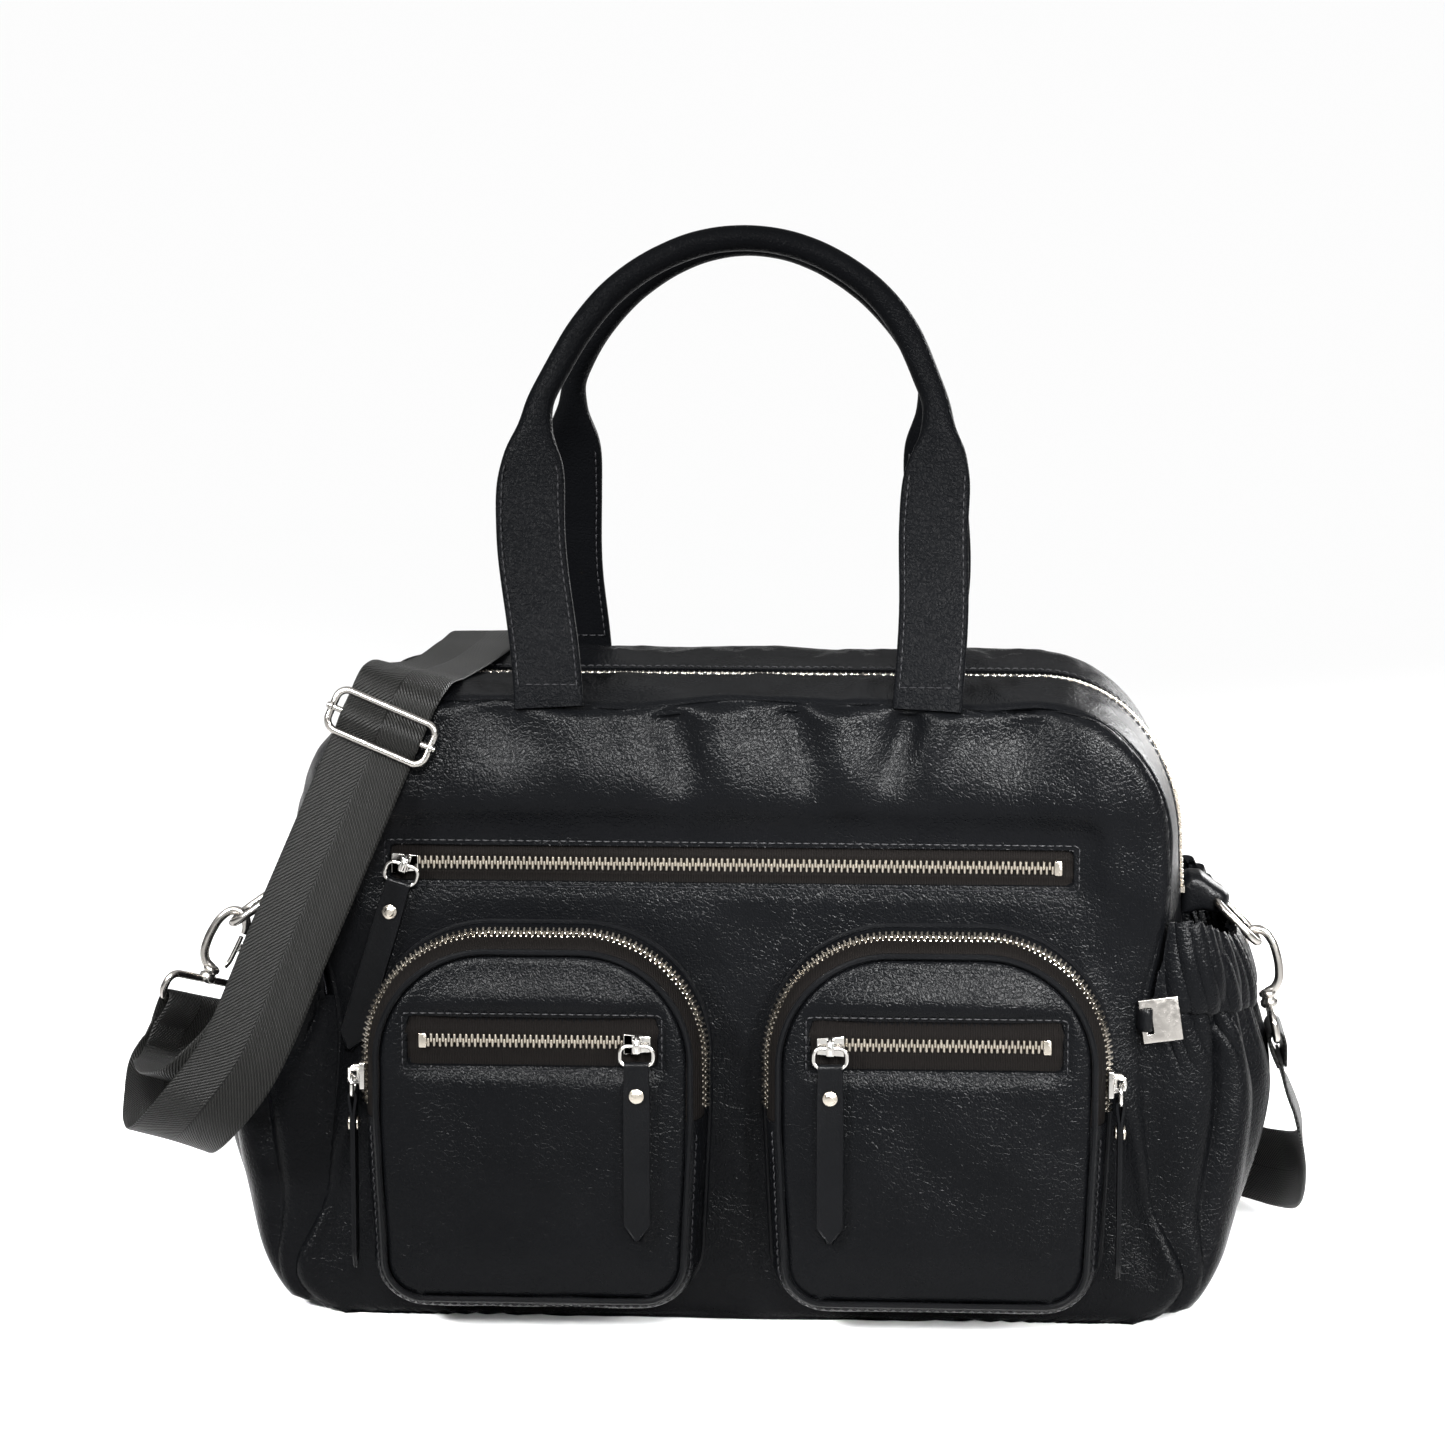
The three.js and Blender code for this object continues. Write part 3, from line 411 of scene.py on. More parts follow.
STRAP_ROUTE = [
    (-0.2659, 0.0010, 0.1165, *LEFT_WIDE), (-0.2681, 0.0012, 0.1119, *LEFT_WIDE),
    (-0.2716, 0.0015, 0.1046, *LEFT_WIDE),
    (-0.2740, -0.006, 0.0940, 0.75, 0.55, -0.3), (-0.271, -0.030, 0.086, 0.93, 0.25, -0.25),
    (-0.265, -0.066, 0.0825, 1, 0.05, -0.2), (-0.255, -0.100, 0.086, 1, 0, -0.3),
    (-0.2395, -0.1195, 0.103, 1, 0, -0.38),
    on_run(0), on_run(0.33), on_run(0.66), on_run(0.92), on_run(1),
    (-0.1475, -0.077, 0.296, 1, -0.1, -0.28), (-0.144, -0.046, 0.2925, 1, -0.15, -0.14),
    (-0.137, 0, 0.290, 1, -0.15, 0), (-0.130, 0.050, 0.291, 1, -0.15, 0),
    (-0.126, 0.082, 0.291, 1, -0.15, 0.05), (-0.124, 0.097, 0.276, 1, 0, 0.1),
    (-0.116, 0.102, 0.232, 1, 0, 0.2), (-0.098, 0.109, 0.170, 1, 0, 0.4),
    (-0.064, 0.126, 0.100, 0.9, 0, 0.6), (-0.016, 0.146, 0.050, 0.6, 0, 0.8),
    (0.046, 0.158, 0.024, 0.15, 0, 1), (0.120, 0.162, 0.0205, 0, 0, 1),
    (0.190, 0.160, 0.020, 0, 0, 1), (0.232, 0.146, 0.020, 0, 0, 1),
    (0.256, 0.112, 0.023, 0, 0.15, 1), (0.264, 0.066, 0.036, 0, 0.6, 0.8),
    (0.262, 0.028, 0.060, 0, 0.93, 0.36), (0.2555, 0.005, 0.084, 0, 1, 0.1),
    (0.2514, 0, 0.095, 0, 1, 0), (0.2498, 0, 0.103, 0, 1, 0), (0.2489, 0, 0.1075, 0, 1, 0),
]
UNDERLAYER_ROUTE = [
    on_run(0.86, BEHIND), on_run(0.6, BEHIND), on_run(0.3, BEHIND), on_run(0.04, BEHIND),
    (-0.236, -0.115, 0.116, 1, 0, -0.38), (-0.251, -0.092, 0.109, 1, 0, -0.3),
    (-0.262, -0.054, 0.106, 0.97, 0.15, -0.25), (-0.264, -0.028, 0.102, 0.8, 0.45, -0.25),
    (-0.2658, -0.009, 0.1006, 0.7, 0.65, -0.3), (-0.2686, -0.0025, 0.1036, *LEFT_WIDE),
    (-0.2669, -0.0015, 0.1098, *LEFT_WIDE), (-0.2650, -0.0013, 0.1142, *LEFT_WIDE),
]

def ribbon_frame(route, step=0.003):
    """Centres, width directions and faces' normals along a route of positions and width directions."""
    line = resample(curve_through(route, 24), step)
    centre = line[:, :3]
    run = unit(np.gradient(centre, axis=0))
    across = line[:, 3:]
    across = unit(across - run * np.sum(across * run, axis=1, keepdims=True))
    return centre, across, np.cross(run, across)

def webbing_mesh(centre, across, out, width=STRAP_WIDTH, thick=STRAP_THICK):
    """Flat woven webbing with thin rounded edges, and the weave's place along it kept as UV."""
    shape = [(-1, 0), (-0.985, 0.62), (-0.93, 1), (-0.45, 1), (0, 0.93), (0.45, 1), (0.93, 1), (0.985, 0.62)]
    ring = np.array(shape + [(-a, -b) for a, b in shape])
    a, b = ring[:, 0] * width / 2, ring[:, 1] * thick / 2
    rings = centre[:, None] + across[:, None] * a[:, None] + out[:, None] * b[:, None]
    points, faces = sections_tube(rings)
    uv = np.stack(np.broadcast_arrays(a[None, :], lengths_along(centre)[:, None]), axis=-1).reshape(-1, 2)
    return Mesh().add(points, faces, uv)

def make_strap():
    centre, across, out = ribbon_frame(STRAP_ROUTE)
    strap = webbing_mesh(centre, across, out).build("shoulder_strap", WEBBING, "webbing", "shell", 50, ["strap"])
    under, under_across, under_out = ribbon_frame(UNDERLAYER_ROUTE)
    doubled = webbing_mesh(under, under_across, under_out)
    doubled.build("strap_doubled_layer", WEBBING, "webbing", "shell", 50, ["strap_underlayer"])
    return strap, centre

STRAP, STRAP_LINE = make_strap()

WELD = 1e-5

def cad_copy(node):
    """A copy of a CAD node's mesh, and its form for editing with meeting points merged."""
    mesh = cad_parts[node].data.copy()
    work = bmesh.new()
    work.from_mesh(mesh)
    bmesh.ops.remove_doubles(work, verts=work.verts, dist=WELD)
    return mesh, work

def split_wide_faces(work):
    bmesh.ops.triangulate(work, faces=[f for f in work.faces if len(f.verts) > 4])

def finish_copy(mesh, work, node, name, material, body, sharp):
    work.to_mesh(mesh)
    work.free()
    mesh.name = name
    mesh.shade_smooth()
    mesh.set_sharp_from_angle(angle=np.radians(sharp))
    return finish_piece(bpy.data.objects.new(name, mesh), material, body, [node])

def refined(node, name, material, body, width, segments):
    """A hard CAD piece with its edges rounded, which stands for the node."""
    mesh, work = cad_copy(node)
    bmesh.ops.dissolve_limit(work, angle_limit=np.radians(4), verts=work.verts, edges=work.edges)
    hard = [e for e in work.edges if len(e.link_faces) == 2 and e.calc_face_angle(0) > np.radians(28)]
    bmesh.ops.bevel(work, geom=hard, offset=width, segments=segments, profile=0.6, affect="EDGES",
                    clamp_overlap=True)
    split_wide_faces(work)
    return finish_copy(mesh, work, node, name, material, body, 32)

# ---- rings, hooks and buckle ------------------------------------------------------------------
RING = {"x": 0.218, "z": 0.182, "length": 0.028, "half": 0.015, "wire": 0.0019}
# For each side: how far the ring falls from level, how the hook leans, and how its eye is turned.
HANG = {"left": (np.radians(35), 0.45, -np.pi / 4), "right": (np.radians(45), 0.2, np.pi / 2)}
HOOK_BASE, EYE_HALF, EYE_DEPTH = 0.032, 0.022, 0.013

def turn_about(axis, angle):
    """Rotation matrix about x, y or z."""
    k = "xyz".index(axis)
    i, j = (k + 1) % 3, (k + 2) % 3
    c, s = np.cos(angle), np.sin(angle)
    turn = np.eye(3)
    turn[i, i], turn[i, j], turn[j, i], turn[j, j] = c, -s, s, c
    return turn

def placed(parts, turn, at, side):
    """Parts moved from their own frame to the bag, and mirrored for the left."""
    mesh = Mesh()
    for points, faces in parts:
        moved = np.asarray(points) @ turn.T + at
        mesh.add(moved * vec(side, 1, 1), faces)
    return mesh

def turned_profile(profile, sides=20):
    """Rings of points round the local Y axis from (radius, y) pairs."""
    angles = np.linspace(0, 2 * np.pi, sides, endpoint=False)
    return sections_tube([[(r * np.cos(t), y, r * np.sin(t)) for t in angles] for r, y in profile])

def make_ring_and_hook(side, name):
    ring_angle, hook_angle, eye_turn = HANG[name]
    reach = RING["length"]
    to_ring = turn_about("y", ring_angle) @ turn_about("z", -np.pi / 2)
    ring_at = vec(RING["x"], 0, RING["z"])
    ring = wire(rounded_loop(RING["half"], 0, reach, 0.009, 10), RING["wire"], closed=True, sides=14)
    placed([ring], to_ring, ring_at, side).build(
        f"d_ring_wire_{name}", DARK_NICKEL, "nickel", f"d_ring_{name}", 60, [f"d_ring_{name}"])

    hook_at = ring_at + reach * vec(np.cos(ring_angle), 0, -np.sin(ring_angle))
    to_hook = turn_about("y", -hook_angle) @ turn_about("x", np.pi / 2)
    crook = [(0, -26), (3.6, -24.4), (6.4, -20.5), (7.5, -14), (7.4, -8), (6.4, -2), (3.6, 3.0), (0, 4.6),
             (-3.8, 3.2), (-6.2, -0.6), (-6.6, -4.2)]
    line = curve_through([(x * 1e-3, y * 1e-3, 0) for x, y in crook], 6)
    swell = np.interp(np.linspace(0, 1, len(line)), [0, 0.15, 0.5, 0.85, 1], [2.4, 2.2, 2.0, 2.3, 1.4]) * 1e-3
    hook = wire(line, swell, sides=12, flat=0.82)
    neck = turned_profile([(1e-4, -0.0245), (0.0026, -0.0246), (0.0040, -0.0256), (0.0040, -0.0272),
                           (0.0031, -0.0280), (0.0031, -0.0288), (0.0041, -0.0296), (0.0041, -0.0318),
                           (0.0030, -0.0330), (1e-4, -0.0332)])
    eye = wire(rounded_loop(EYE_HALF, -HOOK_BASE - EYE_DEPTH, -HOOK_BASE, 0.005, 7), 0.0018, closed=True, sides=12)
    eye = (eye[0] @ turn_about("y", eye_turn).T, eye[1])
    placed([hook, neck, eye], to_hook, hook_at, side).build(
        f"snap_hook_body_{name}", DARK_NICKEL, "nickel", f"snap_hook_{name}", 60, [f"snap_hook_{name}"])

    lever = [(-5.0, -22.4), (-6.0, -20), (-6.3, -14), (-6.3, -8.6), (-6.2, -5.9)]
    lever_line = curve_through([(x * 1e-3, y * 1e-3, 0) for x, y in lever], 5)
    thin = np.interp(np.linspace(0, 1, len(lever_line)), [0, 0.2, 1], [1.5, 1.25, 1.1]) * 1e-3
    thumb = wire([(-0.0072, -0.0130, 0), (-0.0082, -0.0112, 0), (-0.0076, -0.0094, 0)],
                 (0.0008, 0.0012, 0.0008), sides=8)
    placed([wire(lever_line, thin, sides=10), thumb], to_hook, hook_at, side).build(
        f"hook_gate_lever_{name}", NICKEL, "nickel", f"hook_gate_{name}", 60, [f"hook_gate_{name}"])

    # The webbing's end turned round the eye's outer bar and sewn to itself.
    bar = turn_about("y", eye_turn) @ vec(1, 0, 0)
    out = turn_about("y", eye_turn) @ vec(0, 0, 1)
    eye_y = -HOOK_BASE - EYE_DEPTH
    half = [(1.6, -13), (2.9, -7), (3.5, -1.5), (2.6, 2.4)]
    fold = half + [(0, 3.7)] + [(-a, b) for a, b in half[::-1]]
    fold_line = [(*(out * a * 1e-3 + vec(0, eye_y + b * 1e-3, 0)), *bar) for a, b in fold]
    centre, across, away = ribbon_frame(fold_line, 0.0015)
    wrap = webbing_mesh(centre, across, away)
    moved = placed([(wrap.points, wrap.faces)], to_hook, hook_at, side)
    moved.uv = wrap.uv
    moved.build(f"strap_end_wrap_{name}", WEBBING, "webbing", f"snap_hook_{name}", 50, [f"strap_end_{name}"])

def make_buckle():
    """Sliding frame with rounded corners, and the bar whose ends show as small knobs."""
    up = unit(RUN_HEAD - RUN_FOOT)
    across = unit(RUN_WIDE - up * np.dot(RUN_WIDE, up))
    out = np.cross(across, up)
    turn = np.stack([across, up, out], axis=1)
    at = lerp(RUN_FOOT, RUN_HEAD, 0.9) + out * 0.0034
    outer = wire(rounded_loop(0.0235, -0.0095, 0.0095, 0.005, 7), 0.0017, closed=True, sides=12)
    bar = wire([(x, 0, 0.0006) for x in (-0.0262, -0.0258, 0, 0.0258, 0.0262)],
               (0.0006, 0.0014, 0.0014, 0.0014, 0.0006), sides=10)
    knobs = [wire([(s * x, 0, 0.0004) for x in (0.0232, 0.0238, 0.0246, 0.0252)],
                  (0.0018, 0.0025, 0.0025, 0.0016), sides=10) for s in (-1, 1)]
    placed([outer, bar, *knobs], turn, at, 1).build(
        "strap_buckle_frame", DARK_NICKEL, "nickel", "strap_buckle", 60, ["strap_buckle"])
    # The webbing rises over the bar between the frame's two long sides.
    hump = [(0, y * 1e-3, z * 1e-3, 1, 0, 0) for y, z in
            ((-7.6, -1.5), (-5.6, -0.2), (-3, 2.2), (0, 3.1), (3, 2.2), (5.6, -0.2), (7.6, -1.5))]
    centre, wide, away = ribbon_frame(hump, 0.0012)
    cover = webbing_mesh(centre, wide, away)
    cover.points = (np.array(cover.points) @ turn.T + at).tolist()
    cover.build("strap_over_bar", WEBBING, "webbing", "strap_buckle", 50)

for side, name in SIDES:
    make_ring_and_hook(side, name)
make_buckle()

# ---- the bag's outline ------------------------------------------------------------------------
BASE_HALF, BASE_R = 0.206, 0.030
SHOULDER_HALF, SHOULDER_Z, TOP_R = 0.193, 0.222, 0.062
SHOULDER_X = SHOULDER_HALF - TOP_R
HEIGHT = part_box("front_panel")[1].z
FRONT_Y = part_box("front_panel")[0].y
# Half depths: where a wall's bow comes to nothing, where its edge rolls in, and where walls and top strips stop.
BOW_Y, ROLL_Y, WALL_Y, STRIP_Y = 0.081, 0.0806, 0.0795, 0.0798
ZIP_R, ZIP_END_Z, ZIP_EDGE = 0.070, 0.187, 0.0088
# How much closer to the middle than the CAD's the side walls are drawn.
SLIM_RIGHT, SLIM_LEFT = 0.0070, 0.0025

def pinch(z):
    """How far the elastic pockets draw the front and back seams in."""
    return 0.0165 * smooth(0.010, 0.062, z) * (1 - smooth(0.125, 0.212, z))

def half_width(z):
    z = np.asarray(z, float)
    low = BASE_HALF - BASE_R + np.sqrt(np.clip(BASE_R ** 2 - (BASE_R - z) ** 2, 0, None))
    high = SHOULDER_X + np.sqrt(np.clip(TOP_R ** 2 - (z - SHOULDER_Z) ** 2, 0, None))
    straight = lerp(BASE_HALF, SHOULDER_HALF, (z - BASE_R) / (SHOULDER_Z - BASE_R))
    return np.where(z < BASE_R, low, np.where(z > SHOULDER_Z, high, straight)) - pinch(z)

def bulge(z):
    return np.where(z > BASE_R, 0.006 + (z - BASE_R) * 0.04, 0.006 * z / BASE_R)

def wall_x(z, y, side=1):
    """The side wall's distance out at a height and depth; the right side is the flatter one."""
    slim = (SLIM_RIGHT if side > 0 else SLIM_LEFT) * smooth(0.08, 0.18, z)
    middle = half_width(z) + pinch(z) + bulge(z) - slim
    return lerp(half_width(z), middle, 1 - np.clip(np.abs(y) / BOW_Y, 0, 1) ** 2)

def row_heights(bottom_r, top_r, top, step, extra=()):
    turn = np.linspace(0, np.pi / 2, 14)
    rows = np.concatenate([bottom_r * (1 - np.cos(turn)), np.arange(bottom_r, top - top_r, step),
                           top - top_r + top_r * np.sin(np.linspace(0, np.pi / 2, 26)), extra])
    rows = np.unique(np.round(rows, 6))
    return rows[np.concatenate([[True], np.diff(rows) > 0.00015])]

def columns(count, extra=(), ease=0.5):
    s = np.linspace(-1, 1, count)
    u = (1 - ease) * s + ease * np.sin(s * np.pi / 2)
    return np.unique(np.concatenate([u, extra]))

def outline_distance(x, z, width, top):
    """How far inside an outline each point is."""
    t = np.concatenate([np.linspace(0, top, 260), top - 0.5 * 0.06 * (1 - np.cos(np.linspace(0, 0.3, 30)))])
    t = np.clip(np.sort(t), 0, top)
    edge = np.concatenate([np.stack([width(t), t], 1), np.stack([-width(t), t], 1)])
    for level in (0, top):
        across = np.linspace(-width(np.array(level)), width(np.array(level)), 120)
        edge = np.concatenate([edge, np.stack([across, np.full(120, float(level))], 1)])
    flat = np.stack([x.ravel(), z.ravel()], 1)
    best = np.full(len(flat), 9.0)
    for start in range(0, len(flat), 2000):
        block = flat[start:start + 2000]
        best[start:start + 2000] = np.sqrt(((block[:, None] - edge[None]) ** 2).sum(2)).min(1)
    return best.reshape(x.shape)

def rolled(distance, radius):
    """How far a sheet turns away from its face near its edge."""
    t = np.clip(1 - distance / radius, 0, 1)
    return radius * (1 - np.sqrt(np.clip(1 - t ** 2, 0, 1)))

def window(x, z, x0, x1, z0, z1, edge=0.0006):
    """1 inside a rectangle with rounded corners and slightly soft edges, 0 outside."""
    r = 0.0032
    dx = np.abs(x - (x0 + x1) / 2) - (x1 - x0) / 2 + r
    dz = np.abs(z - (z0 + z1) / 2) - (z1 - z0) / 2 + r
    outside = np.hypot(np.maximum(dx, 0), np.maximum(dz, 0)) + np.minimum(np.maximum(dx, dz), 0) - r
    return 1 - smooth(0, edge, outside)

def leather_sheet(grid, thick, name, node, sharp, normals=None):
    """A sheet of the bag's leather, which rides the shell and stands for a CAD node."""
    sheet_mesh(grid, thick, normals).build(name, LEATHER, "leather", "shell", sharp, [node])

# ---- front and back panels --------------------------------------------------------------------
ZIP_WINDOW = (-0.1565, 0.1500, 0.2032, 0.2188)
PANEL_THICK, PANEL_EDGE = 0.0022, 0.0060
WELT_R, WELT_Y = 0.0021, 0.0796
# Only the seam above this height is wavy.
WAVE_Z = 0.262
# Each dent below the top seam: its x, width, depth and length.
DENTS = ((-0.031, 0.010, 0.0056, 0.048), (0.024, 0.009, 0.0050, 0.044), (0.077, 0.0075, 0.0062, 0.034),
         (0.132, 0.013, 0.0030, 0.034), (-0.108, 0.014, 0.0034, 0.032))

def front_relief(x, z):
    """How far the front stands out from its flat plane: a soft crown, dents below the top seam and slack folds."""
    upper = smooth(0.2195, 0.243, z) * (1 - smooth(0.244, HEIGHT, z))
    out = 0.0066 * upper * (1 - (x / 0.2) ** 4) * (0.85 + 0.3 * ripple(xyz(x, 0, 0), 18.0, 2.0))
    for centre, width, depth, length in DENTS:
        lean = (HEIGHT - z) * 0.22 * np.sign(centre - 0.03)
        fade = smooth(0, 0.006, HEIGHT - z) * (1 - smooth(length * 0.35, length * 1.35, HEIGHT - z))
        out = out - depth * bell(x + lean, centre, width) * fade
        out = out + 0.55 * depth * bell(x + lean, centre + 1.9 * width, width * 1.1) * fade
    for s in (-1, 1):
        corner = bell(s * x, 0.164, 0.030) * bell(z, 0.240, 0.040)
        fold = bell(s * x + 0.30 * (z - 0.10), 0.176, 0.0055) * smooth(0.015, 0.05, z) * (1 - smooth(0.13, 0.19, z))
        side = bell(s * x, 0.186, 0.012) * smooth(0.01, 0.04, z) * (1 - smooth(0.15, 0.20, z))
        out = out + 0.0042 * corner + 0.0024 * fold - 0.0022 * side
    foot = smooth(0.0, 0.020, z) * (1 - smooth(0.02, 0.06, z))
    return out + 0.0016 * foot

def soft_noise(x, z, seed, size=0.0012):
    flat = xyz(x, seed, z)
    return size * ripple(flat, 26.0, seed) + 0.45 * size * ripple(flat, 62.0, seed + 9)

def front_surface(x, z):
    """The front's y at each x and z, without its rolled edge."""
    calm = 1 - window(x, z, -0.162, 0.156, 0.197, 0.225, edge=0.012)
    out = front_relief(x, z) * calm + soft_noise(x, z, 3.1) * (0.25 + 0.75 * calm)
    lip = 0.0007 * (window(x, z, -0.1605, 0.1540, 0.1985, 0.2235, edge=0.0022))
    return FRONT_Y - 0.0004 - out + lip + 0.0034 * window(x, z, *ZIP_WINDOW)

def top_wave(x):
    """The top seam rises and falls a little along the bag."""
    return 0.0016 * np.sin(x * 38 + 0.6) + 0.0011 * np.sin(x * 71 + 2.0)

def seam_wave(x, face):
    """The same for either seam; the back one is calmer and runs the other way."""
    return top_wave(x) if face < 0 else 0.35 * top_wave(-x)

def panel_grid(surface):
    # The extra rows and columns lie close to the zip window's edges, so that these come out sharp.
    z = row_heights(BASE_R, TOP_R, HEIGHT, 0.0026, (0.2027, 0.2031, 0.2035, 0.2186, 0.2190, 0.2194))
    width = 0.1935
    extra = [x / width for x in (-0.1573, -0.1569, -0.1565, 0.1500, 0.1504, 0.1508)]
    u = columns(151, extra, 0.45)
    zz, uu = grid_of(z, u)
    xx = uu * half_width(zz)
    y = surface(xx, zz)
    edge = rolled(outline_distance(xx, zz, half_width, HEIGHT), PANEL_EDGE)
    return xx, y, zz, edge

def make_front_panel():
    xx, y, zz, edge = panel_grid(front_surface)
    zz = zz + top_wave(xx) * smooth(WAVE_Z, HEIGHT, zz)
    leather_sheet(xyz(xx, y + edge, zz), PANEL_THICK, "front_panel_leather", "front_panel", 50, FORWARD)

def back_surface(x, z):
    out = 0.0030 * bell(z, 0.235, 0.05) + 0.0035 * bell(z, 0.06, 0.05) + soft_noise(x, z, 7.7, 0.0020)
    for centre, lean in ((-0.150, 0.25), (-0.05, -0.12), (0.060, 0.16), (0.155, -0.25)):
        out = out - 0.0022 * bell(x + lean * (z - 0.15), centre, 0.013) * smooth(0.10, 0.27, z)
    return -FRONT_Y + out

def make_back_panel():
    xx, y, zz, edge = panel_grid(back_surface)
    zz = zz + seam_wave(xx, 1) * smooth(WAVE_Z, HEIGHT, zz)
    leather_sheet(xyz(xx, y - edge, zz), PANEL_THICK, "back_panel_leather", "back_panel", 50, -FORWARD)

def make_seam_welt(face, label):
    """The turned-in edge that closes the seam between a panel and the sides."""
    z = row_heights(BASE_R, TOP_R, HEIGHT, 0.004)
    z = z[(z > 0.0022) & (z < HEIGHT - 0.0022)]
    right = xyz(half_width(z) - WELT_R, 0, z)
    loop = np.vstack([right, (right * vec(-1, 1, 1))[::-1]])
    loop[:, 1] = face * WELT_Y
    loop = resample(np.vstack([loop, loop[:1]]), 0.004)[:-1]
    loop[:, 2] += seam_wave(loop[:, 0], face) * smooth(WAVE_Z, HEIGHT, loop[:, 2])
    Mesh().add(*wire(loop, WELT_R, up=(0, face, 0), closed=True)).build(
        f"{label}_seam_welt", LEATHER, "leather", "shell")

make_front_panel()
make_back_panel()
make_seam_welt(-1, "front")
make_seam_welt(1, "back")

def grown(box, dx, dz):
    x0, x1, z0, z1 = box
    return x0 - dx, x1 + dx, z0 - dz, z1 + dz

def rectangle_path(x0, x1, z0, z1):
    """X and Z of a closed line round a rectangle with slightly rounded corners."""
    r = 0.0012
    corners = ((x1 - r, z1 - r, 0), (x0 + r, z1 - r, 1), (x0 + r, z0 + r, 2), (x1 - r, z0 + r, 3))
    out = []
    for cx, cz, quarter in corners:
        t = (quarter + np.linspace(0, 1, 6)) * np.pi / 2
        out += list(zip(cx + r * np.cos(t), cz + r * np.sin(t)))
    return resample(np.array(out + out[:1]), 0.002).T

def make_front_stitches():
    thread = Mesh()
    x, z = rectangle_path(*grown(ZIP_WINDOW, 0.0028, 0.0026))
    stitch_row(thread, xyz(x, front_surface(x, z), z), FORWARD)
    thread.build("front_zip_stitches", THREAD, "leather", "shell")

make_front_stitches()

# ---- gusset, base and the strips beside the main zip --------------------------------------------
def gusset_heights():
    """Heights from the foot of the side wall up to the main zip's end, closer together round the foot."""
    turn = np.linspace(0, np.pi / 2, 12)[:-1]
    return np.concatenate([BASE_R * (1 - np.cos(turn)), np.linspace(BASE_R, ZIP_END_Z, 64)])

def make_gusset(side, name):
    z = gusset_heights()
    y = WALL_Y * columns(49, ease=0.6)
    zz, yy = grid_of(z, y)
    seam = rolled(ROLL_Y - np.abs(yy), 0.0045)
    low = np.clip(1 - zz / BASE_R, 0, 1)
    folds = 0.0016 * ripple(xyz(yy, zz * 0.5, 0), 34.0, side * 4.0) * smooth(0.02, 0.06, zz)
    x = wall_x(zz, yy, side) - seam * (1 - low) - folds * (1 - (yy / BOW_Y) ** 2)
    grid = xyz(side * x, yy, zz + seam * low)
    leather_sheet(grid, -PANEL_THICK * side, f"side_gusset_leather_{name}", f"side_gusset_{name}", 60)

def make_base():
    x = (BASE_HALF - BASE_R - 0.0004) * columns(60, ease=0.4)
    y = WALL_Y * columns(32, ease=0.4)
    xx, yy = grid_of(x, y)
    grid = xyz(xx, yy, rolled(ROLL_Y - np.abs(yy), 0.0045) + 0.0002)
    leather_sheet(grid, -0.0021, "base_leather", "base_panel", 60)

TOP_MID_X = SHOULDER_X + 0.004
# How far along the top's path its flat part and its curved part reach, either way from 0.
FLAT_TO, ARC_TO = 0.52, 0.90

def top_path(s):
    """Edge line, middle line and outward directions of the top, from -1 at the left end to 1 at the right end."""
    side = np.where(s < 0, -1.0, 1.0)
    t = np.abs(s)
    arc = np.clip((t - FLAT_TO) / (ARC_TO - FLAT_TO), 0, 1) * np.pi / 2
    drop = np.clip((t - ARC_TO) / (1 - ARC_TO), 0, 1)
    across = np.clip(t / FLAT_TO, 0, 1)
    edge_x = SHOULDER_X * across + TOP_R * np.sin(arc) + drop * (half_width(ZIP_END_Z) - SHOULDER_HALF)
    edge_z = HEIGHT - TOP_R * (1 - np.cos(arc)) - drop * (HEIGHT - TOP_R - ZIP_END_Z)
    slim = np.where(s > 0, SLIM_RIGHT, SLIM_LEFT) * smooth(0.55, 0.86, t)
    mid_x = TOP_MID_X * across + ZIP_R * np.sin(arc) + drop * 0.001 - slim
    mid_z = HEIGHT - ZIP_R * (1 - np.cos(arc)) - drop * (HEIGHT - ZIP_R - ZIP_END_Z)
    return xyz(side * edge_x, 0, edge_z), xyz(side * mid_x, 0, mid_z), xyz(side * np.sin(arc), 0, np.cos(arc))

def top_point(s, y, lift):
    edge, middle, out = top_path(s)
    bow = (1 - np.clip(np.abs(y) / BOW_Y, 0, 1) ** 2)[..., None]
    point = lerp(edge, middle, bow) + out * lift[..., None]
    point[..., 1] = y
    return point

# The mouth's middle, where the left and right pieces of the top meet, and the same place along the top's path.
MOUTH_X = 0.051
FLAP_MIDDLE_S = MOUTH_X / SHOULDER_X * FLAT_TO
STRIPS = {"left": (-1.0, FLAP_MIDDLE_S), "right": (FLAP_MIDDLE_S, 1.0)}

def strip_lift(s, y, face):
    """Height of a puffed strip over the plain top: full between seam and zip, with slack folds."""
    w = np.clip((np.abs(y) - ZIP_EDGE) / (BOW_Y - ZIP_EDGE), 0, 1)
    puff = 0.0036 * np.sin(np.pi * w ** 0.8) ** 0.8
    place = xyz(s * 2.2, w * 0.25, face * 3.0)
    slack = 0.0026 * ripple(place, 5.0, face * 2.0) * np.sin(np.pi * w)
    crease = 0.0010 * ripple(place, 14.0, 8.0 + face) * np.sin(np.pi * w)
    lip = 0.0016 * (1 - smooth(0, 0.0035, np.abs(y) - ZIP_EDGE))
    seam = -rolled(ROLL_Y - np.abs(y), 0.0048)
    near_end = np.where(s > 0, 1 - smooth(0.50, 0.78, s), 1 - smooth(0.90, 1.0, -s))
    return (puff + slack + crease) * near_end + lip * 0.4 + 0.0012 + seam

def zip_drift(s):
    """The main zip lies nearer the front as it comes down the right side."""
    return -0.014 * smooth(0.50, 0.86, s)

def zip_rise(s):
    """The main zip stands a little higher on the right side."""
    return 0.0020 * smooth(0.50, 0.86, s)

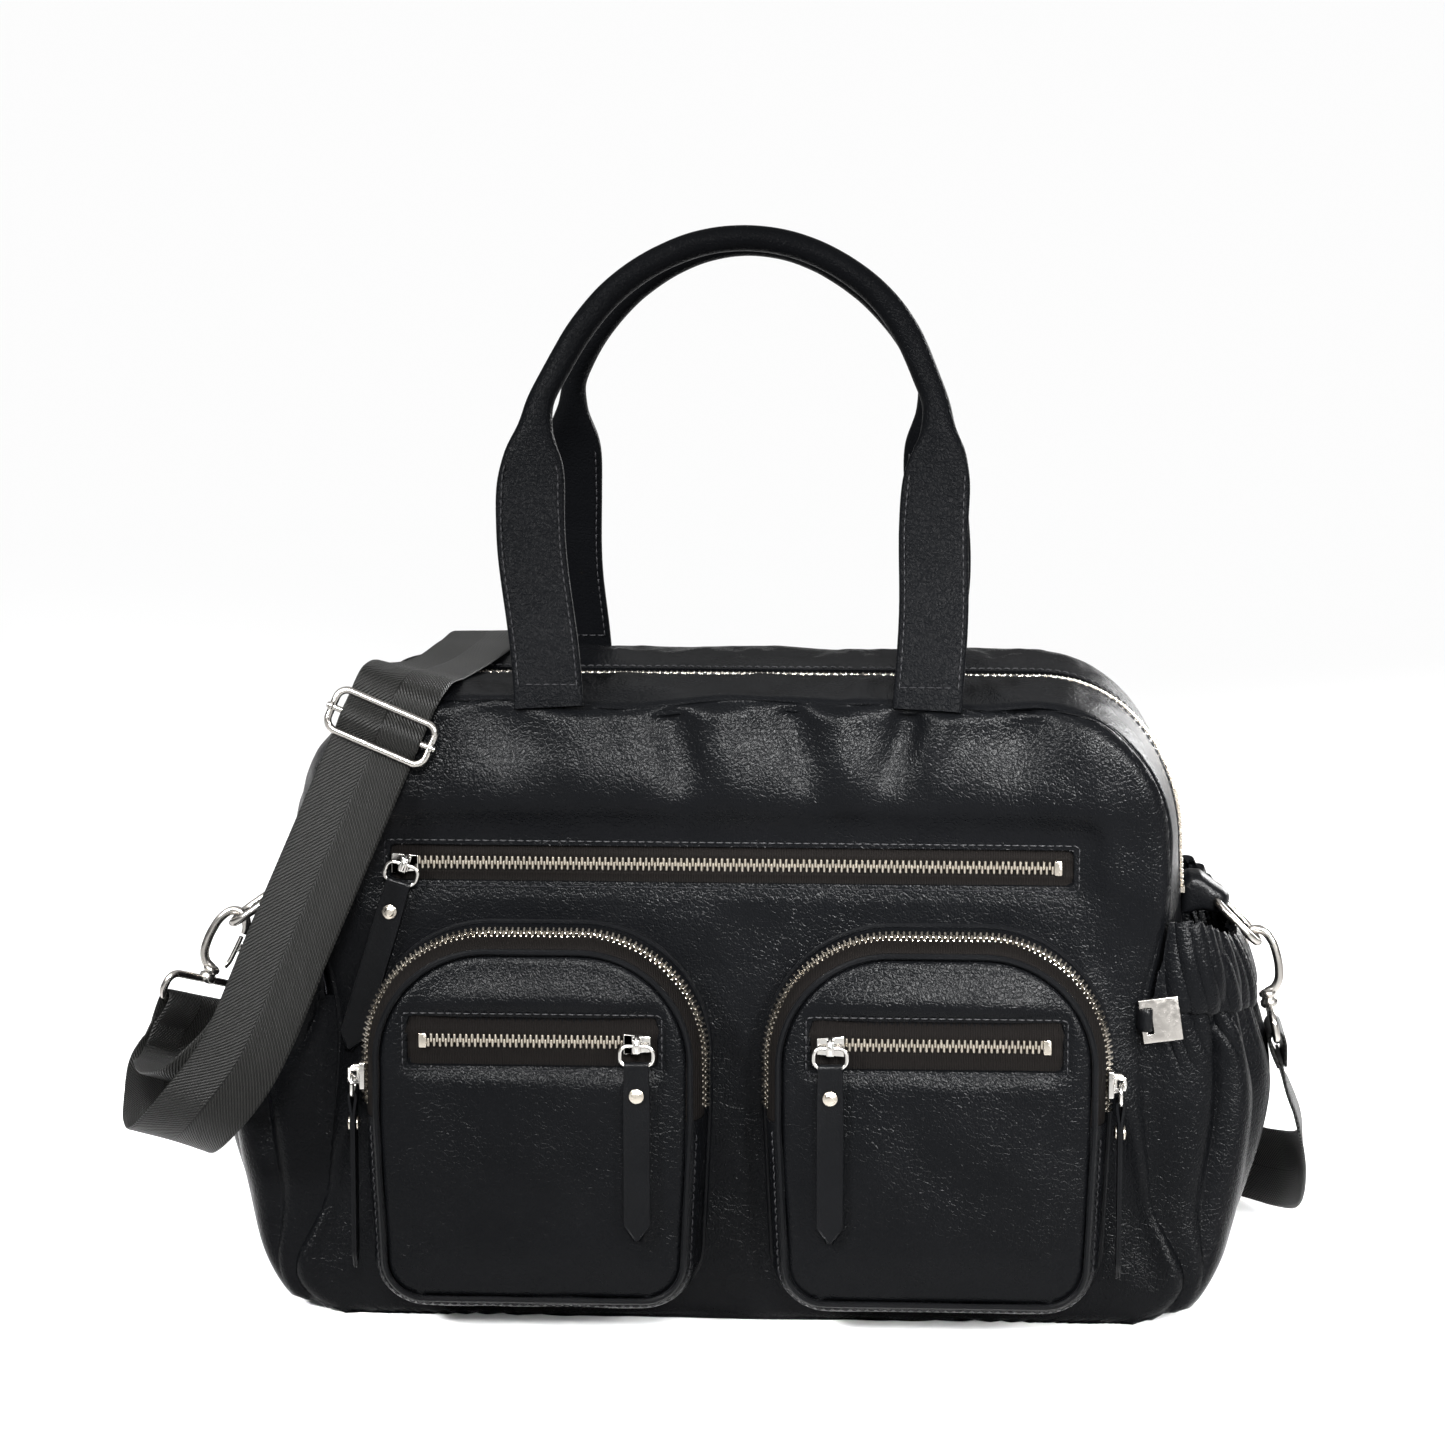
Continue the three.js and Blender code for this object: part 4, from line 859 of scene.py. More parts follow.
def make_strip(face, face_name, name):
    s0, s1 = STRIPS[name]
    s = np.linspace(s0, s1, 260 if name == "left" else 130)
    v = columns(37, ease=0.6) * 0.5 + 0.5
    y = face * (ZIP_EDGE + v * (STRIP_Y - ZIP_EDGE))
    ss, yy = grid_of(s, y)
    grid = top_point(ss, yy, strip_lift(ss, yy, face))
    seam = smooth(0.060, STRIP_Y, np.abs(yy)) * (1 - smooth(0.40, 0.54, np.abs(ss)))
    grid[..., 1] += zip_drift(ss) * (1 - v)
    grid[..., 2] += seam_wave(grid[..., 0], face) * seam
    replaces = [f"top_strip_{face_name}_{name}"] + ([f"top_strip_{face_name}_middle"] if name == "left" else [])
    strip = sheet_mesh(grid, 0.0020 * face).build(
        f"top_strip_leather_{face_name}_{name}", LEATHER, "leather", None, 60)
    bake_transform(strip)
    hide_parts(*replaces)
    thread = Mesh()
    line = np.linspace(s0, s1, 400)
    at_y = np.full(line.shape, face * (ZIP_EDGE + 0.0026))
    sewn = top_point(line, at_y, strip_lift(line, at_y, face))
    sewn[:, 1] += zip_drift(line) * 0.96
    stitch_row(thread, sewn, top_path(line)[2])
    row = thread.build(f"top_strip_stitches_{face_name}_{name}", THREAD, "leather")
    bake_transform(row)

# ---- zips -------------------------------------------------------------------------------------
TAPE_THICK = 0.0009
TOOTH = {"pitch": 0.00262, "along": 0.00125, "across": 0.0041, "rise": 0.0017, "stagger": 0.00105}
TOOTH_LEVELS = ((0.0, 1.0, 1.0), (0.55, 1.0, 1.0), (0.85, 0.86, 0.93), (1.0, 0.5, 0.78))
STOP = {"along": 0.0036, "across": 0.0066, "rise": 0.0022}
STOP_LEVELS = ((0, 1, 1), (0.75, 1, 1), (0.95, 0.94, 0.96), (1.0, 0.84, 0.9))

def octagon(c):
    """A square of half size 1 with its corners cut off at c."""
    return np.array([(1, c), (c, 1), (-c, 1), (-1, c), (-1, -c), (-c, -1), (c, -1), (1, -c)])

def small_block(centre, run, across, out, size, corner, levels):
    """A small bar with chamfered edges. Each level is its share of the block's rise, length and width."""
    rings = []
    for rise, along, wide in levels:
        a = corner[:, 0] * along * size["along"] / 2
        b = corner[:, 1] * wide * size["across"] / 2
        rings.append(centre + np.outer(a, run) + np.outer(b, across) + out * rise * size["rise"])
    return sections_tube(rings)

def zip_teeth(mesh, path, out, which=(-1, 1)):
    """Teeth along a path, one row on each side of it, staggered by half a pitch."""
    both = resample(np.hstack([path, np.broadcast_to(out, path.shape)]), TOOTH["pitch"] / 2)
    run = unit(np.gradient(both[:, :3], axis=0))
    for k, (row, t) in enumerate(zip(both, run)):
        n = unit(row[3:] - t * np.dot(row[3:], t))
        across = np.cross(n, t)
        s = 1 if k % 2 else -1
        if s in which:
            mesh.add(*small_block(row[:3] + across * s * TOOTH["stagger"], t, across, n, TOOTH, octagon(0.7),
                                  TOOTH_LEVELS))

def end_stop(mesh, at, run, across, out):
    """A folded metal stop across both tapes."""
    mesh.add(*small_block(at, run, across, out, STOP, octagon(0.8), STOP_LEVELS))

# Where the main zip's teeth start and end along the top path, and where its end stop is.
TEETH_S, ZIP_STOP_S = (-0.930, 0.985), 0.994

def make_main_zip_half(face, face_name, name):
    s0, s1 = STRIPS[name]
    s = np.linspace(s0, s1, 230 if name == "left" else 115)
    y = face * np.linspace(0.0004, ZIP_EDGE + 0.0015, 6)
    ss, yy = grid_of(s, y)
    grid = top_point(ss, yy, zip_rise(ss))
    grid[..., 1] += zip_drift(ss)
    tape = sheet_mesh(grid, TAPE_THICK * face).build(
        f"main_zip_tape_{face_name}_{name}", TAPE, "zip_tape", None, 60)
    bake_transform(tape)
    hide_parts(f"main_zip_{face_name}_half" if name == "right" else f"main_zip_{name}_end")
    if face > 0:
        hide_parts(f"main_zip_{name}_end")
    start = TEETH_S[0] if name == "left" else s0
    stop = s1 if name == "left" else TEETH_S[1]
    line = np.linspace(start, stop, 500)
    middle = top_point(line, np.zeros(line.shape), zip_rise(line))
    middle[:, 1] += zip_drift(line)
    teeth = Mesh()
    zip_teeth(teeth, middle, top_path(line)[2], which=(-face,))
    if name == "right" and face < 0:
        _, mid, out = top_path(np.array([ZIP_STOP_S]))
        at = mid[0] + out[0] * zip_rise(ZIP_STOP_S) + vec(0, zip_drift(ZIP_STOP_S), 0)
        end_stop(teeth, at, vec(0, 0, -1), -FORWARD, out[0])
    row = teeth.build(f"main_zip_teeth_{face_name}_{name}", TEETH, "nickel", None, 30)
    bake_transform(row)

for side, name in SIDES:
    make_gusset(side, name)
    for face, face_name in ((-1, "front"), (1, "rear")):
        make_strip(face, face_name, name)
        make_main_zip_half(face, face_name, name)
make_base()

def flat_zip_pieces(name, x0, x1, z, y, height, slider_side):
    """A zip lying along X behind a window: woven tape, staggered teeth and a stop at the far end from the slider."""
    xs, zs = np.linspace(x0 - 0.004, x1 + 0.004, 120), np.linspace(z - height / 2, z + height / 2, 15)
    xx, zz = grid_of(xs, zs)
    bead = 0.0007 * bell(np.abs(zz - z), 0.0040, 0.0010) + 0.0002 * np.sin(xx * 2400)
    sheet_mesh(xyz(xx, y - bead, zz), TAPE_THICK, FORWARD).build(
        f"{name}_tape", TAPE, "zip_tape", "shell", 60, [name])
    teeth = Mesh()
    zip_teeth(teeth, xyz(np.linspace(x0 + 0.009, x1 - 0.009, 200), y, z), FORWARD)
    stop_x = x1 - 0.0065 if slider_side < 0 else x0 + 0.0065
    end_stop(teeth, vec(stop_x, y, z), vec(1, 0, 0), vec(0, 0, 1), FORWARD)
    teeth.build(f"{name}_teeth", TEETH, "nickel", "shell", 30)

flat_zip_pieces("front_zip", *ZIP_WINDOW[:2], 0.211, FRONT_Y + 0.0022, 0.0172, -1)

# ---- cargo pockets ----------------------------------------------------------------------------
CARGO = {"x": 0.090, "half": 0.076, "top": 0.183, "bottom": 0.0120, "top_r": 0.056, "bottom_r": 0.024}
U_ZIP_END_Z, U_TEETH_Y, FACE_Y = 0.100, -0.1035, -0.1176
FACE_WINDOW = (-0.0555, 0.0555, 0.1262, 0.1478)
FACE_ZIP_Z = 0.137

def cargo_half_line():
    c = CARGO
    foot_x = c["half"] - 0.003 - c["bottom_r"]
    low = -np.pi / 2 + np.linspace(0, np.pi / 2, 14)
    high = np.linspace(0, np.pi / 2, 26)
    points = [(0, c["bottom"])]
    points += list(zip(foot_x + c["bottom_r"] * np.cos(low), c["bottom"] + c["bottom_r"] * (1 + np.sin(low))))
    points += [(c["half"], U_ZIP_END_Z)]
    points += list(zip(c["half"] - c["top_r"] * (1 - np.cos(high)), c["top"] - c["top_r"] * (1 - np.sin(high))))
    points += [(0, c["top"])]
    return resample(np.array(points), 0.0022)

CARGO_RIGHT = cargo_half_line()
CARGO_LOOP = np.vstack([CARGO_RIGHT[:-1], (CARGO_RIGHT * vec(-1, 1))[::-1][:-1]])

def loop_normals():
    run = unit(np.roll(CARGO_LOOP, -1, 0) - np.roll(CARGO_LOOP, 1, 0))
    return np.stack([run[:, 1], -run[:, 0]], axis=1)

LOOP_OUT = loop_normals()

def loop_out(keep, sideways, y):
    """Directions out of the loop at the points kept, tilted along Y."""
    return xyz(LOOP_OUT[keep, 0] * sideways, y, LOOP_OUT[keep, 1] * sideways)

def lower_run(height):
    """The loop's points below a height, in order from one side of the pocket to the other."""
    low = np.flatnonzero(CARGO_LOOP[:, 1] <= height)
    split = np.argmax(np.diff(low)) + 1
    return np.concatenate([low[split:], low[:split]])

def cargo_ring(cx, inset, y):
    p = CARGO_LOOP - LOOP_OUT * inset
    return xyz(p[:, 0] + cx, y, p[:, 1])

def cargo_sheet(name, cx, rows, keep, material, slot, replaces, closed=False):
    grid = np.stack([cargo_ring(cx, inset, y)[keep] for inset, y in rows], axis=1)
    if closed:
        grid = np.concatenate([grid, grid[:1] + vec(0, 0, 1e-6)], axis=0)
    swell = 0.0007 * ripple(grid, 40.0, cx * 50)
    out = loop_out(keep, 1, 0)
    if closed:
        out = np.vstack([out, out[:1]])
    grid = grid + out[:, None] * swell[..., None]
    sheet_mesh(grid, 0.0016, out[:, None]).build(name, material, slot, "shell", 60, replaces)

def face_half_width(inset):
    right = CARGO_RIGHT - LOOP_OUT[:len(CARGO_RIGHT)] * inset
    z = np.maximum.accumulate(right[:, 1] + np.arange(len(right)) * 1e-9)
    # The outline is flat at its foot and its top, so both ends are read just inside them.
    return lambda level: np.interp(np.clip(level, z[0] + 1e-6, z[-1] - 1e-6), z, right[:, 0])

FACE_INSET = 0.0064
FACE_LOW, FACE_TOP = CARGO["bottom"] + FACE_INSET, CARGO["top"] - FACE_INSET

def face_surface(x, z, side, distance):
    """The padded face of a pocket; x is measured from the pocket's middle."""
    calm = window(x, z, *FACE_WINDOW, edge=0.010)
    puff = (0.0034 + 0.0024 * smooth(0.140, 0.156, z)) * smooth(0, 0.028, distance) + 0.0006 * bell(z, 0.07, 0.03)
    sag = 0.0008 * ripple(xyz(x, side, z), 30.0, side * 5.0)
    lip = 0.0006 * window(x, z, *grown(FACE_WINDOW, 0.0035, 0.0035), edge=0.002)
    return FACE_Y - puff * (1 - 0.45 * calm) - sag * (1 - calm) + lip + 0.0030 * window(x, z, *FACE_WINDOW)

def make_cargo_face(side, name, cx):
    width = face_half_width(FACE_INSET)
    base = row_heights(CARGO["bottom_r"] - FACE_INSET, CARGO["top_r"] - FACE_INSET, FACE_TOP - FACE_LOW, 0.0023)
    edges = [e - FACE_LOW + d for e in FACE_WINDOW[2:] for d in (-0.0004, 0, 0.0004)]
    z = np.unique(np.concatenate([base, edges])) + FACE_LOW
    middle = float(width(FACE_ZIP_Z))
    extra = [(e + d) / middle for e in FACE_WINDOW[:2] for d in (-0.0004, 0, 0.0004)]
    u = columns(67, extra, 0.4)
    zz, uu = grid_of(z, u)
    xx = uu * width(zz)
    distance = outline_distance(xx, zz - FACE_LOW, lambda t: width(t + FACE_LOW), FACE_TOP - FACE_LOW)
    grid = xyz(xx + cx, face_surface(xx, zz, side, distance) + rolled(distance, 0.0045), zz)
    leather_sheet(grid, 0.0020, f"cargo_face_leather_{name}", f"cargo_face_{name}", 50, FORWARD)
    thread = Mesh()
    x, z = rectangle_path(*grown(FACE_WINDOW, 0.0024, 0.0022))
    stitch_row(thread, xyz(x + cx, face_surface(x, z, side, 0.03), z), FORWARD)
    # A line of stitches beside the lower seam, between the two ends of the curved zip.
    order = lower_run(U_ZIP_END_Z - 0.002)
    stitch_row(thread, cargo_ring(cx, 0.0028, -0.1150)[order], loop_out(order, 0.7, -0.7))
    thread.build(f"cargo_stitches_{name}", THREAD, "leather", "shell")

def make_cargo(side, name):
    cx = side * CARGO["x"]
    everywhere = np.arange(len(CARGO_LOOP))
    high = np.flatnonzero(CARGO_LOOP[:, 1] > U_ZIP_END_Z)
    low = lower_run(U_ZIP_END_Z + 0.002)
    cargo_sheet(f"cargo_gusset_leather_{name}", cx, [(-0.0022, -0.0846), (-0.0006, -0.0862), (0, -0.090),
                (-0.0004, -0.095), (0, -0.0995)], everywhere, LEATHER, "leather", [f"cargo_gusset_{name}"], True)
    cargo_sheet(f"cargo_skirt_{name}", cx, [(0, -0.0990), (-0.0002, -0.103), (0.0002, -0.1075), (0.0012, -0.1120),
                (0.0034, -0.1155), (0.0056, -0.1168)], low, LEATHER, "leather", ())
    cargo_sheet(f"cargo_zip_tape_{name}", cx, [(0.0009, -0.0985), (0.0001, -0.1005), (0.0003, -0.1042),
                (0.0010, -0.1085), (0.0026, -0.1128), (0.0056, -0.1165)], high, TAPE, "zip_tape",
                [f"cargo_u_zip_{name}"])
    teeth = Mesh()
    zip_teeth(teeth, cargo_ring(cx, 0.0003, U_TEETH_Y)[high][2:-2], loop_out(high, 0.84, -0.54)[2:-2])
    teeth.build(f"cargo_zip_teeth_{name}", TEETH, "nickel", "shell", 30)
    piping = wire(cargo_ring(cx, 0.0056, -0.1174), 0.0015, up=FORWARD, closed=True)
    foot = wire(cargo_ring(cx, -0.0016, -0.0850), 0.0013, up=FORWARD, closed=True)
    Mesh().add(*piping).add(*foot).build(f"cargo_piping_{name}", SMOOTH_LEATHER, "leather", "shell")
    make_cargo_face(side, name, cx)
    flat_zip_pieces(f"cargo_face_zip_{name}", cx + FACE_WINDOW[0], cx + FACE_WINDOW[1], FACE_ZIP_Z, FACE_Y + 0.0012,
                    0.0232, -side)

for side, name in SIDES:
    make_cargo(side, name)

# ---- side pockets -----------------------------------------------------------------------------
POCKET_HALF_Y = 0.0785
# Heights, and how far out the pocket stands at each.
POCKET_STATIONS = np.array([(0.003, 0.209), (0.030, 0.224), (0.064, 0.236), (0.104, 0.2415), (0.142, 0.231),
                            (0.171, 0.2225), (0.190, 0.219)])
# Each valley of the slack pouch: where it is round the pouch, how it leans with height, depth and width.
FOLDS = ((0.37, 2.2, 0.0062, 0.085), (0.86, -1.2, 0.0050, 0.11), (1.33, 1.5, 0.0058, 0.12),
         (1.82, -1.0, 0.0052, 0.12), (2.30, 1.2, 0.0058, 0.11), (2.77, -2.2, 0.0055, 0.085))

def pocket_x(z):
    smooth_line = curve_through([(a, b, 0) for a, b in POCKET_STATIONS], 8)
    return np.interp(z, smooth_line[:, 0], smooth_line[:, 1])

def pouch(side, t, z):
    y = -POCKET_HALF_Y * np.cos(t)
    wall = wall_x(z, y, side) + 0.0016
    return wall + np.maximum(pocket_x(z) - wall, 0.0004) * np.sin(t) ** 0.62, y

def hem_arc():
    """The length round the gathered hem up to each t."""
    t = np.linspace(0, np.pi, 400)
    x, y = pouch(1, t, np.full(400, 0.150))
    return t, np.concatenate([[0], np.cumsum(np.hypot(np.diff(x), np.diff(y)))])

def pocket_point(side, t, z, gather, lift=0.0):
    """The pouch: t runs from the front seam to the back seam. Folds deepen upward to the gathered hem."""
    t, z, gather, lift = np.broadcast_arrays(np.clip(t, 0, np.pi), z, gather, lift)
    x, y = pouch(side, t, z)
    ahead, behind = pouch(side, np.clip(t + 0.02, 0, np.pi), z), pouch(side, np.clip(t - 0.02, 0, np.pi), z)
    nx, ny = ahead[1] - behind[1], behind[0] - ahead[0]
    size = np.hypot(nx, ny) + 1e-9
    free = np.clip(np.sin(t) * 5, 0, 1) * smooth(0.008, 0.040, z)
    move = 0.0008 * ripple(xyz(y, x, z * 0.6), 55.0, side * 3.0)
    for centre, lean, deep, wide in FOLDS:
        at = centre + lean * (z - 0.10)
        width = wide * (0.8 + 0.5 * smooth(0.15, 0.04, z))
        strength = (0.45 + 0.55 * smooth(0.03, 0.11, z)) * (1 - 0.75 * smooth(0.130, 0.158, z))
        move = move - deep * bell(t, at, width) * strength
        move = move + 0.35 * deep * bell(t, at + 2.4 * width, width * 1.3) * strength
    lean = 0.30 * (z - 0.157) * np.cos(t) * (1 + 0.5 * ripple(xyz(t * 0.2, side, 0), 9.0, 1.0))
    around = np.interp(t, *HEM_ARC) + lean
    around = around + 0.0022 * ripple(xyz(around, side, z * 0.2), 75.0, 4.0)
    height = 0.72 + 0.5 * ripple(xyz(around, side * 2, 0), 60.0, 6.0)
    pleat = (np.abs(np.sin(np.pi * around / 0.0064)) ** 0.75 - 0.5) * height
    evenly = 1 - 0.7 * bell(t, np.pi / 2, 0.55)
    move = move * free + gather * evenly * 0.0046 * pleat * np.clip(np.sin(t) * 14, 0, 1) + lift
    return xyz(side * (x + move * nx / size), y + move * ny / size, z)

HEM_ARC = hem_arc()

HEM_OVERLAP = 0.0012

def hem_puff(v):
    return 0.0022 * np.sin(np.pi * v) ** 0.6

def hem_gather(v):
    return 0.85 + 0.35 * np.sin(np.pi * v)

def make_side_pocket(side, name):
    t = np.linspace(0, np.pi, 300)
    t = t - 0.3 * np.sin(2 * t) / 2
    corner = np.abs(np.cos(t)) ** 4
    foot, hem_low, hem_top = 0.008, 0.1425 + 0.006 * corner, 0.1715 + 0.016 * corner
    rows = np.linspace(0, 1, 62)
    z = foot + (hem_low[:, None] - foot) * rows
    grid = pocket_point(side, t[:, None], z, 0.8 * smooth(0.112, 0.145, z))
    # Turned in under the foot and at both seams, so that no gap shows between the pouch and the wall.
    under = grid[:, :1].copy()
    under[..., 0] = side * (wall_x(under[..., 2], under[..., 1], side) - 0.003)
    under[..., 2] = 0.0062
    grid = np.concatenate([under, lerp(under, grid[:, :1], 0.6) - vec(0, 0, 0.0006), grid], axis=1)
    grid = np.concatenate([grid[:1] - vec(side * 0.007, 0.0012, 0), grid, grid[-1:] - vec(side * 0.007, -0.0012, 0)])
    leather_sheet(grid, -0.0020 * side, f"side_pocket_leather_{name}", f"side_pocket_{name}", 70)
    v = np.linspace(0, 1, 24)
    z = hem_low[:, None] - HEM_OVERLAP + (hem_top - hem_low)[:, None] * v
    swell = (0.0012 + hem_puff(v)) * np.clip(np.sin(t) * 7, 0, 1)[:, None]
    grid = pocket_point(side, t[:, None], z, hem_gather(v), lift=swell)
    leather_sheet(grid, -0.0038 * side, f"side_pocket_hem_leather_{name}", f"side_pocket_hem_{name}", 75)
    thread = Mesh()
    middle = np.flatnonzero(np.abs(t - np.pi / 2) < 0.62)
    for level in (0.04, 0.08):
        at = (hem_low - HEM_OVERLAP + (hem_top - hem_low) * level)[middle]
        line = pocket_point(side, t[middle], at, hem_gather(level), lift=0.0014 + hem_puff(level))
        stitch_row(thread, line, vec(side, 0, 0), lift=0.0003)
    thread.build(f"side_pocket_stitches_{name}", THREAD, "leather", "shell")

for side, name in SIDES:
    make_side_pocket(side, name)

# ---- handles ----------------------------------------------------------------------------------
HANDLE_LEAN = np.radians(17)
# Half a handle from its foot up: across, up, out, half width, half thickness, and how round its section is.
HANDLE_HALF = [(0.0845, -0.0035, 0, 0.0155, 0.0021, 0.25), (0.085, 0.005, 0, 0.0155, 0.0026, 0.25),
               (0.088, 0.040, 0, 0.0155, 0.0029, 0.25), (0.091, 0.078, 0, 0.0155, 0.0030, 0.25),
               (0.0935, 0.102, 0, 0.0149, 0.0036, 0.35), (0.0950, 0.114, 0, 0.0118, 0.0046, 0.6),
               (0.0950, 0.124, 0, 0.0082, 0.0055, 0.9), (0.094, 0.136, 0, 0.0064, 0.0059, 1),
               (0.088, 0.150, 0, 0.0060, 0.0060, 1), (0.077, 0.168, 0, 0.0059, 0.0059, 1),
               (0.060, 0.187, 0, 0.0059, 0.0059, 1), (0.040, 0.201, 0, 0.0059, 0.0059, 1),
               (0.020, 0.209, 0, 0.0059, 0.0059, 1)]

def handle_place(points, side):
    """From the handle's own leaning plane (across, up, out) to the bag."""
    c, s = np.cos(HANDLE_LEAN), np.sin(HANDLE_LEAN)
    x, up, out = points[..., 0], points[..., 1], points[..., 2]
    y = up * s + out * c - 0.0834
    return xyz(-side * x, -side * y, up * c - out * s + 0.2855)

def handle_set(local, side):
    """Departures from the CAD: the rear handle is narrower, the front one bends out at its left, in at its right."""
    x, up = local[..., 0], local[..., 1]
    if side > 0:
        x = x * (1 - 0.115 * smooth(0.03, 0.135, up))
        up = up - 0.0055 * smooth(0.13, 0.21, up)
    else:
        left = 0.0036 * bell(up, 0.072, 0.036) - 0.0036 * bell(up, 0.150, 0.032)
        right = 0.0052 * bell(up, 0.095, 0.045) + 0.0052 * bell(up, 0.145, 0.030)
        x = x - left * smooth(0, 0.03, -x) - right * smooth(0, 0.03, x)
    return xyz(x, up, local[..., 2])

def make_handle(body, side, label):
    left = [(-x, *rest) for x, *rest in HANDLE_HALF]
    stations = left + [(0, 0.2115, 0, 0.0059, 0.0059, 1)] + HANDLE_HALF[::-1]
    line = resample(curve_through(stations, 12), 0.0028)
    run = unit(np.gradient(line[:, :2], axis=0))
    sides = 32
    turn = 2 * np.pi * (np.arange(sides) + 0.5) / sides
    x, up, _, wide, thick, power = (line[:, k:k + 1] for k in range(6))
    c, s = np.cos(turn), np.sin(turn)
    across = wide * np.sign(c) * np.abs(c) ** np.maximum(power, 0.3)
    out = thick * np.sign(s) * np.abs(s) ** np.maximum(power, 0.55)
    round_part = smooth(0.6, 1.0, power)
    across = across + 0.0011 * round_part * bell(turn, np.pi, 0.16)
    local = xyz(x + run[:, 1:] * across, up - run[:, :1] * across, out)
    grain = ripple(local, 90.0, side * 2.0) * 0.00035 + ripple(local, 34.0, side) * 0.0004
    local[..., 2] += grain * (0.6 + 0.4 * round_part)
    local = handle_set(local, side)
    handle = Mesh().add(*sections_tube(handle_place(local, side))).build(
        f"{label}_handle_leather", HANDLE_LEATHER, "leather", None, 48)
    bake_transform(handle)
    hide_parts(body)
    thread = Mesh()
    up = np.linspace(0.006, 0.106, 80)
    tab = np.array(HANDLE_HALF).T
    x_at, thick, edge = (np.interp(up, tab[1], tab[k]) for k in (0, 4, 3))
    edge = edge - 0.0024
    for face in (-1, 1):
        normal = handle_place(vec(0, 0, face), side) - handle_place(vec(0, 0, 0), side)
        for flip in (-1, 1):
            for s in (-1, 1):
                row = handle_set(xyz(flip * (x_at + s * edge), up, face * thick * 1.02), side)
                stitch_row(thread, handle_place(row, side), normal)
            bar = np.linspace(-0.0128, 0.0128, 12)
            row = xyz(flip * (0.0852 + bar), 0.0065, face * 0.0028)
            stitch_row(thread, handle_place(row, side), normal)
    rows = thread.build(f"{label}_handle_stitches", THREAD, "leather", None)
    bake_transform(rows)

make_handle("front_handle", -1, "front")
make_handle("rear_handle", 1, "rear")

# ---- sliders and pulls ------------------------------------------------------------------------
LEAN = np.radians(17)
PULL = {"half": 0.0058, "ring": 0.009, "lift": 0.0056, "tip": 0.007, "gap": 0.0007}
ZIP_PULLS = {
    "front_zip": ((0, -1, 0), (-np.sin(LEAN), 0, -np.cos(LEAN)), 0.080),
    "main_zip": ((-1, 0, 0), (0, 0.985, -0.17), 0.070),
    "cargo_face_left": ((0, -1, 0), (0, 0, -1), 0.080), "cargo_face_right": ((0, -1, 0), (0, 0, -1), 0.080),
    "cargo_u_left": ((-1, 0, 0), (0, 0, -1), 0.080), "cargo_u_right": ((1, 0, 0), (0, 0, -1), 0.080),
}

def pull_strip(length):
    """A leather strip folded over the ring: up the back, round the ring and down the front to a pointed tip."""
    tip = -PULL["ring"] - length
    top = -PULL["ring"]
    r = 0.0017
    down = np.linspace(tip, top, 60)
    bend = np.linspace(np.pi, 0, 12)
    apart = PULL["gap"] + (r - PULL["gap"]) * smooth(top - 0.010, top, down)
    over = [(top + r * np.sin(b), r * np.cos(b)) for b in bend[1:-1]]
    path = np.array([*zip(down, -apart), *over, *zip(down[::-1], apart[::-1])])
    u = np.array([-1, -0.97, -0.88, -0.70, -0.35, 0, 0.35, 0.70, 0.88, 0.97, 1])
    near_tip = np.clip((path[:, 0] - tip) / PULL["tip"], 0, 1)
    wide = lerp(0.0006, PULL["half"], near_tip) * lerp(0.93, 1.0, smooth(0, 0.02, top - path[:, 0]))
    run = unit(np.gradient(path, axis=0))
    out = np.stack([run[:, 1], -run[:, 0]], axis=1) * -1
    edge_drop = 0.00035 * smooth(0.80, 1.0, np.abs(u)) + 0.00012 * bell(np.abs(u), 0.78, 0.05)
    return xyz(wide[:, None] * u, path[:, :1] - out[:, :1] * edge_drop, path[:, 1:] - out[:, 1:] * edge_drop)

def make_pull(name, out, hang, length):
    out = unit(out)
    hang = unit(np.asarray(hang, float) - out * np.dot(hang, out))
    side = np.cross(-hang, out)
    turn = np.stack([side, -hang, out], axis=1)
    low, high = (np.array(corner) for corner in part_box(f"{name}_slider"))
    reach = abs(np.dot(high - low, out)) / 2
    at = (low + high) / 2 - out * reach
    refined(f"{name}_slider", f"{name}_slider_body", NICKEL, f"{name}_slider", 0.0007, 3)
    pivot = at + out * PULL["lift"]
    body = f"{name}_pull"
    placed([slab(pull_strip(length), 0.0011)], turn, pivot, 1).build(
        f"{name}_pull_leather", SMOOTH_LEATHER, "leather", body, 50, [body])
    ring = wire(rounded_loop(PULL["half"] + 0.0016, -PULL["ring"], 0, 0.0036, 8), 0.0009, closed=True, sides=12)
    placed([ring], turn, pivot, 1).build(f"{name}_pull_ring", NICKEL, "nickel", body, 60)
    rivets = Mesh()
    for face in (-1, 1):
        cap = [(1e-5, 0.0009), (0.0012, 0.00085), (0.0021, 0.00055), (0.0024, 0.0003), (0.0031, 0.00035),
               (0.0034, 0.0001), (0.0034, -0.0004), (1e-5, -0.0004)]
        points, faces = turned_profile(cap, 24)
        flat = points @ turn_about("x", np.pi / 2).T * vec(1, 1, face) + vec(0, -PULL["ring"] - 0.0135, face * 0.0020)
        moved = placed([(flat, faces)], turn, pivot, 1)
        rivets.add(moved.points, moved.faces)
    rivets.build(f"{name}_pull_rivet", TEETH, "nickel", body, 50)
    bridge = wire([(0, y, z) for y, z in ((-0.0038, 0.0022), (-0.0036, 0.0052), (-0.0020, 0.0074),
                                          (0.0020, 0.0074), (0.0036, 0.0052), (0.0038, 0.0022))],
                  0.0011, up=(1, 0, 0), sides=10)
    placed([bridge], turn, at, 1).build(f"{name}_slider_bridge", NICKEL, "nickel", f"{name}_slider", 50)

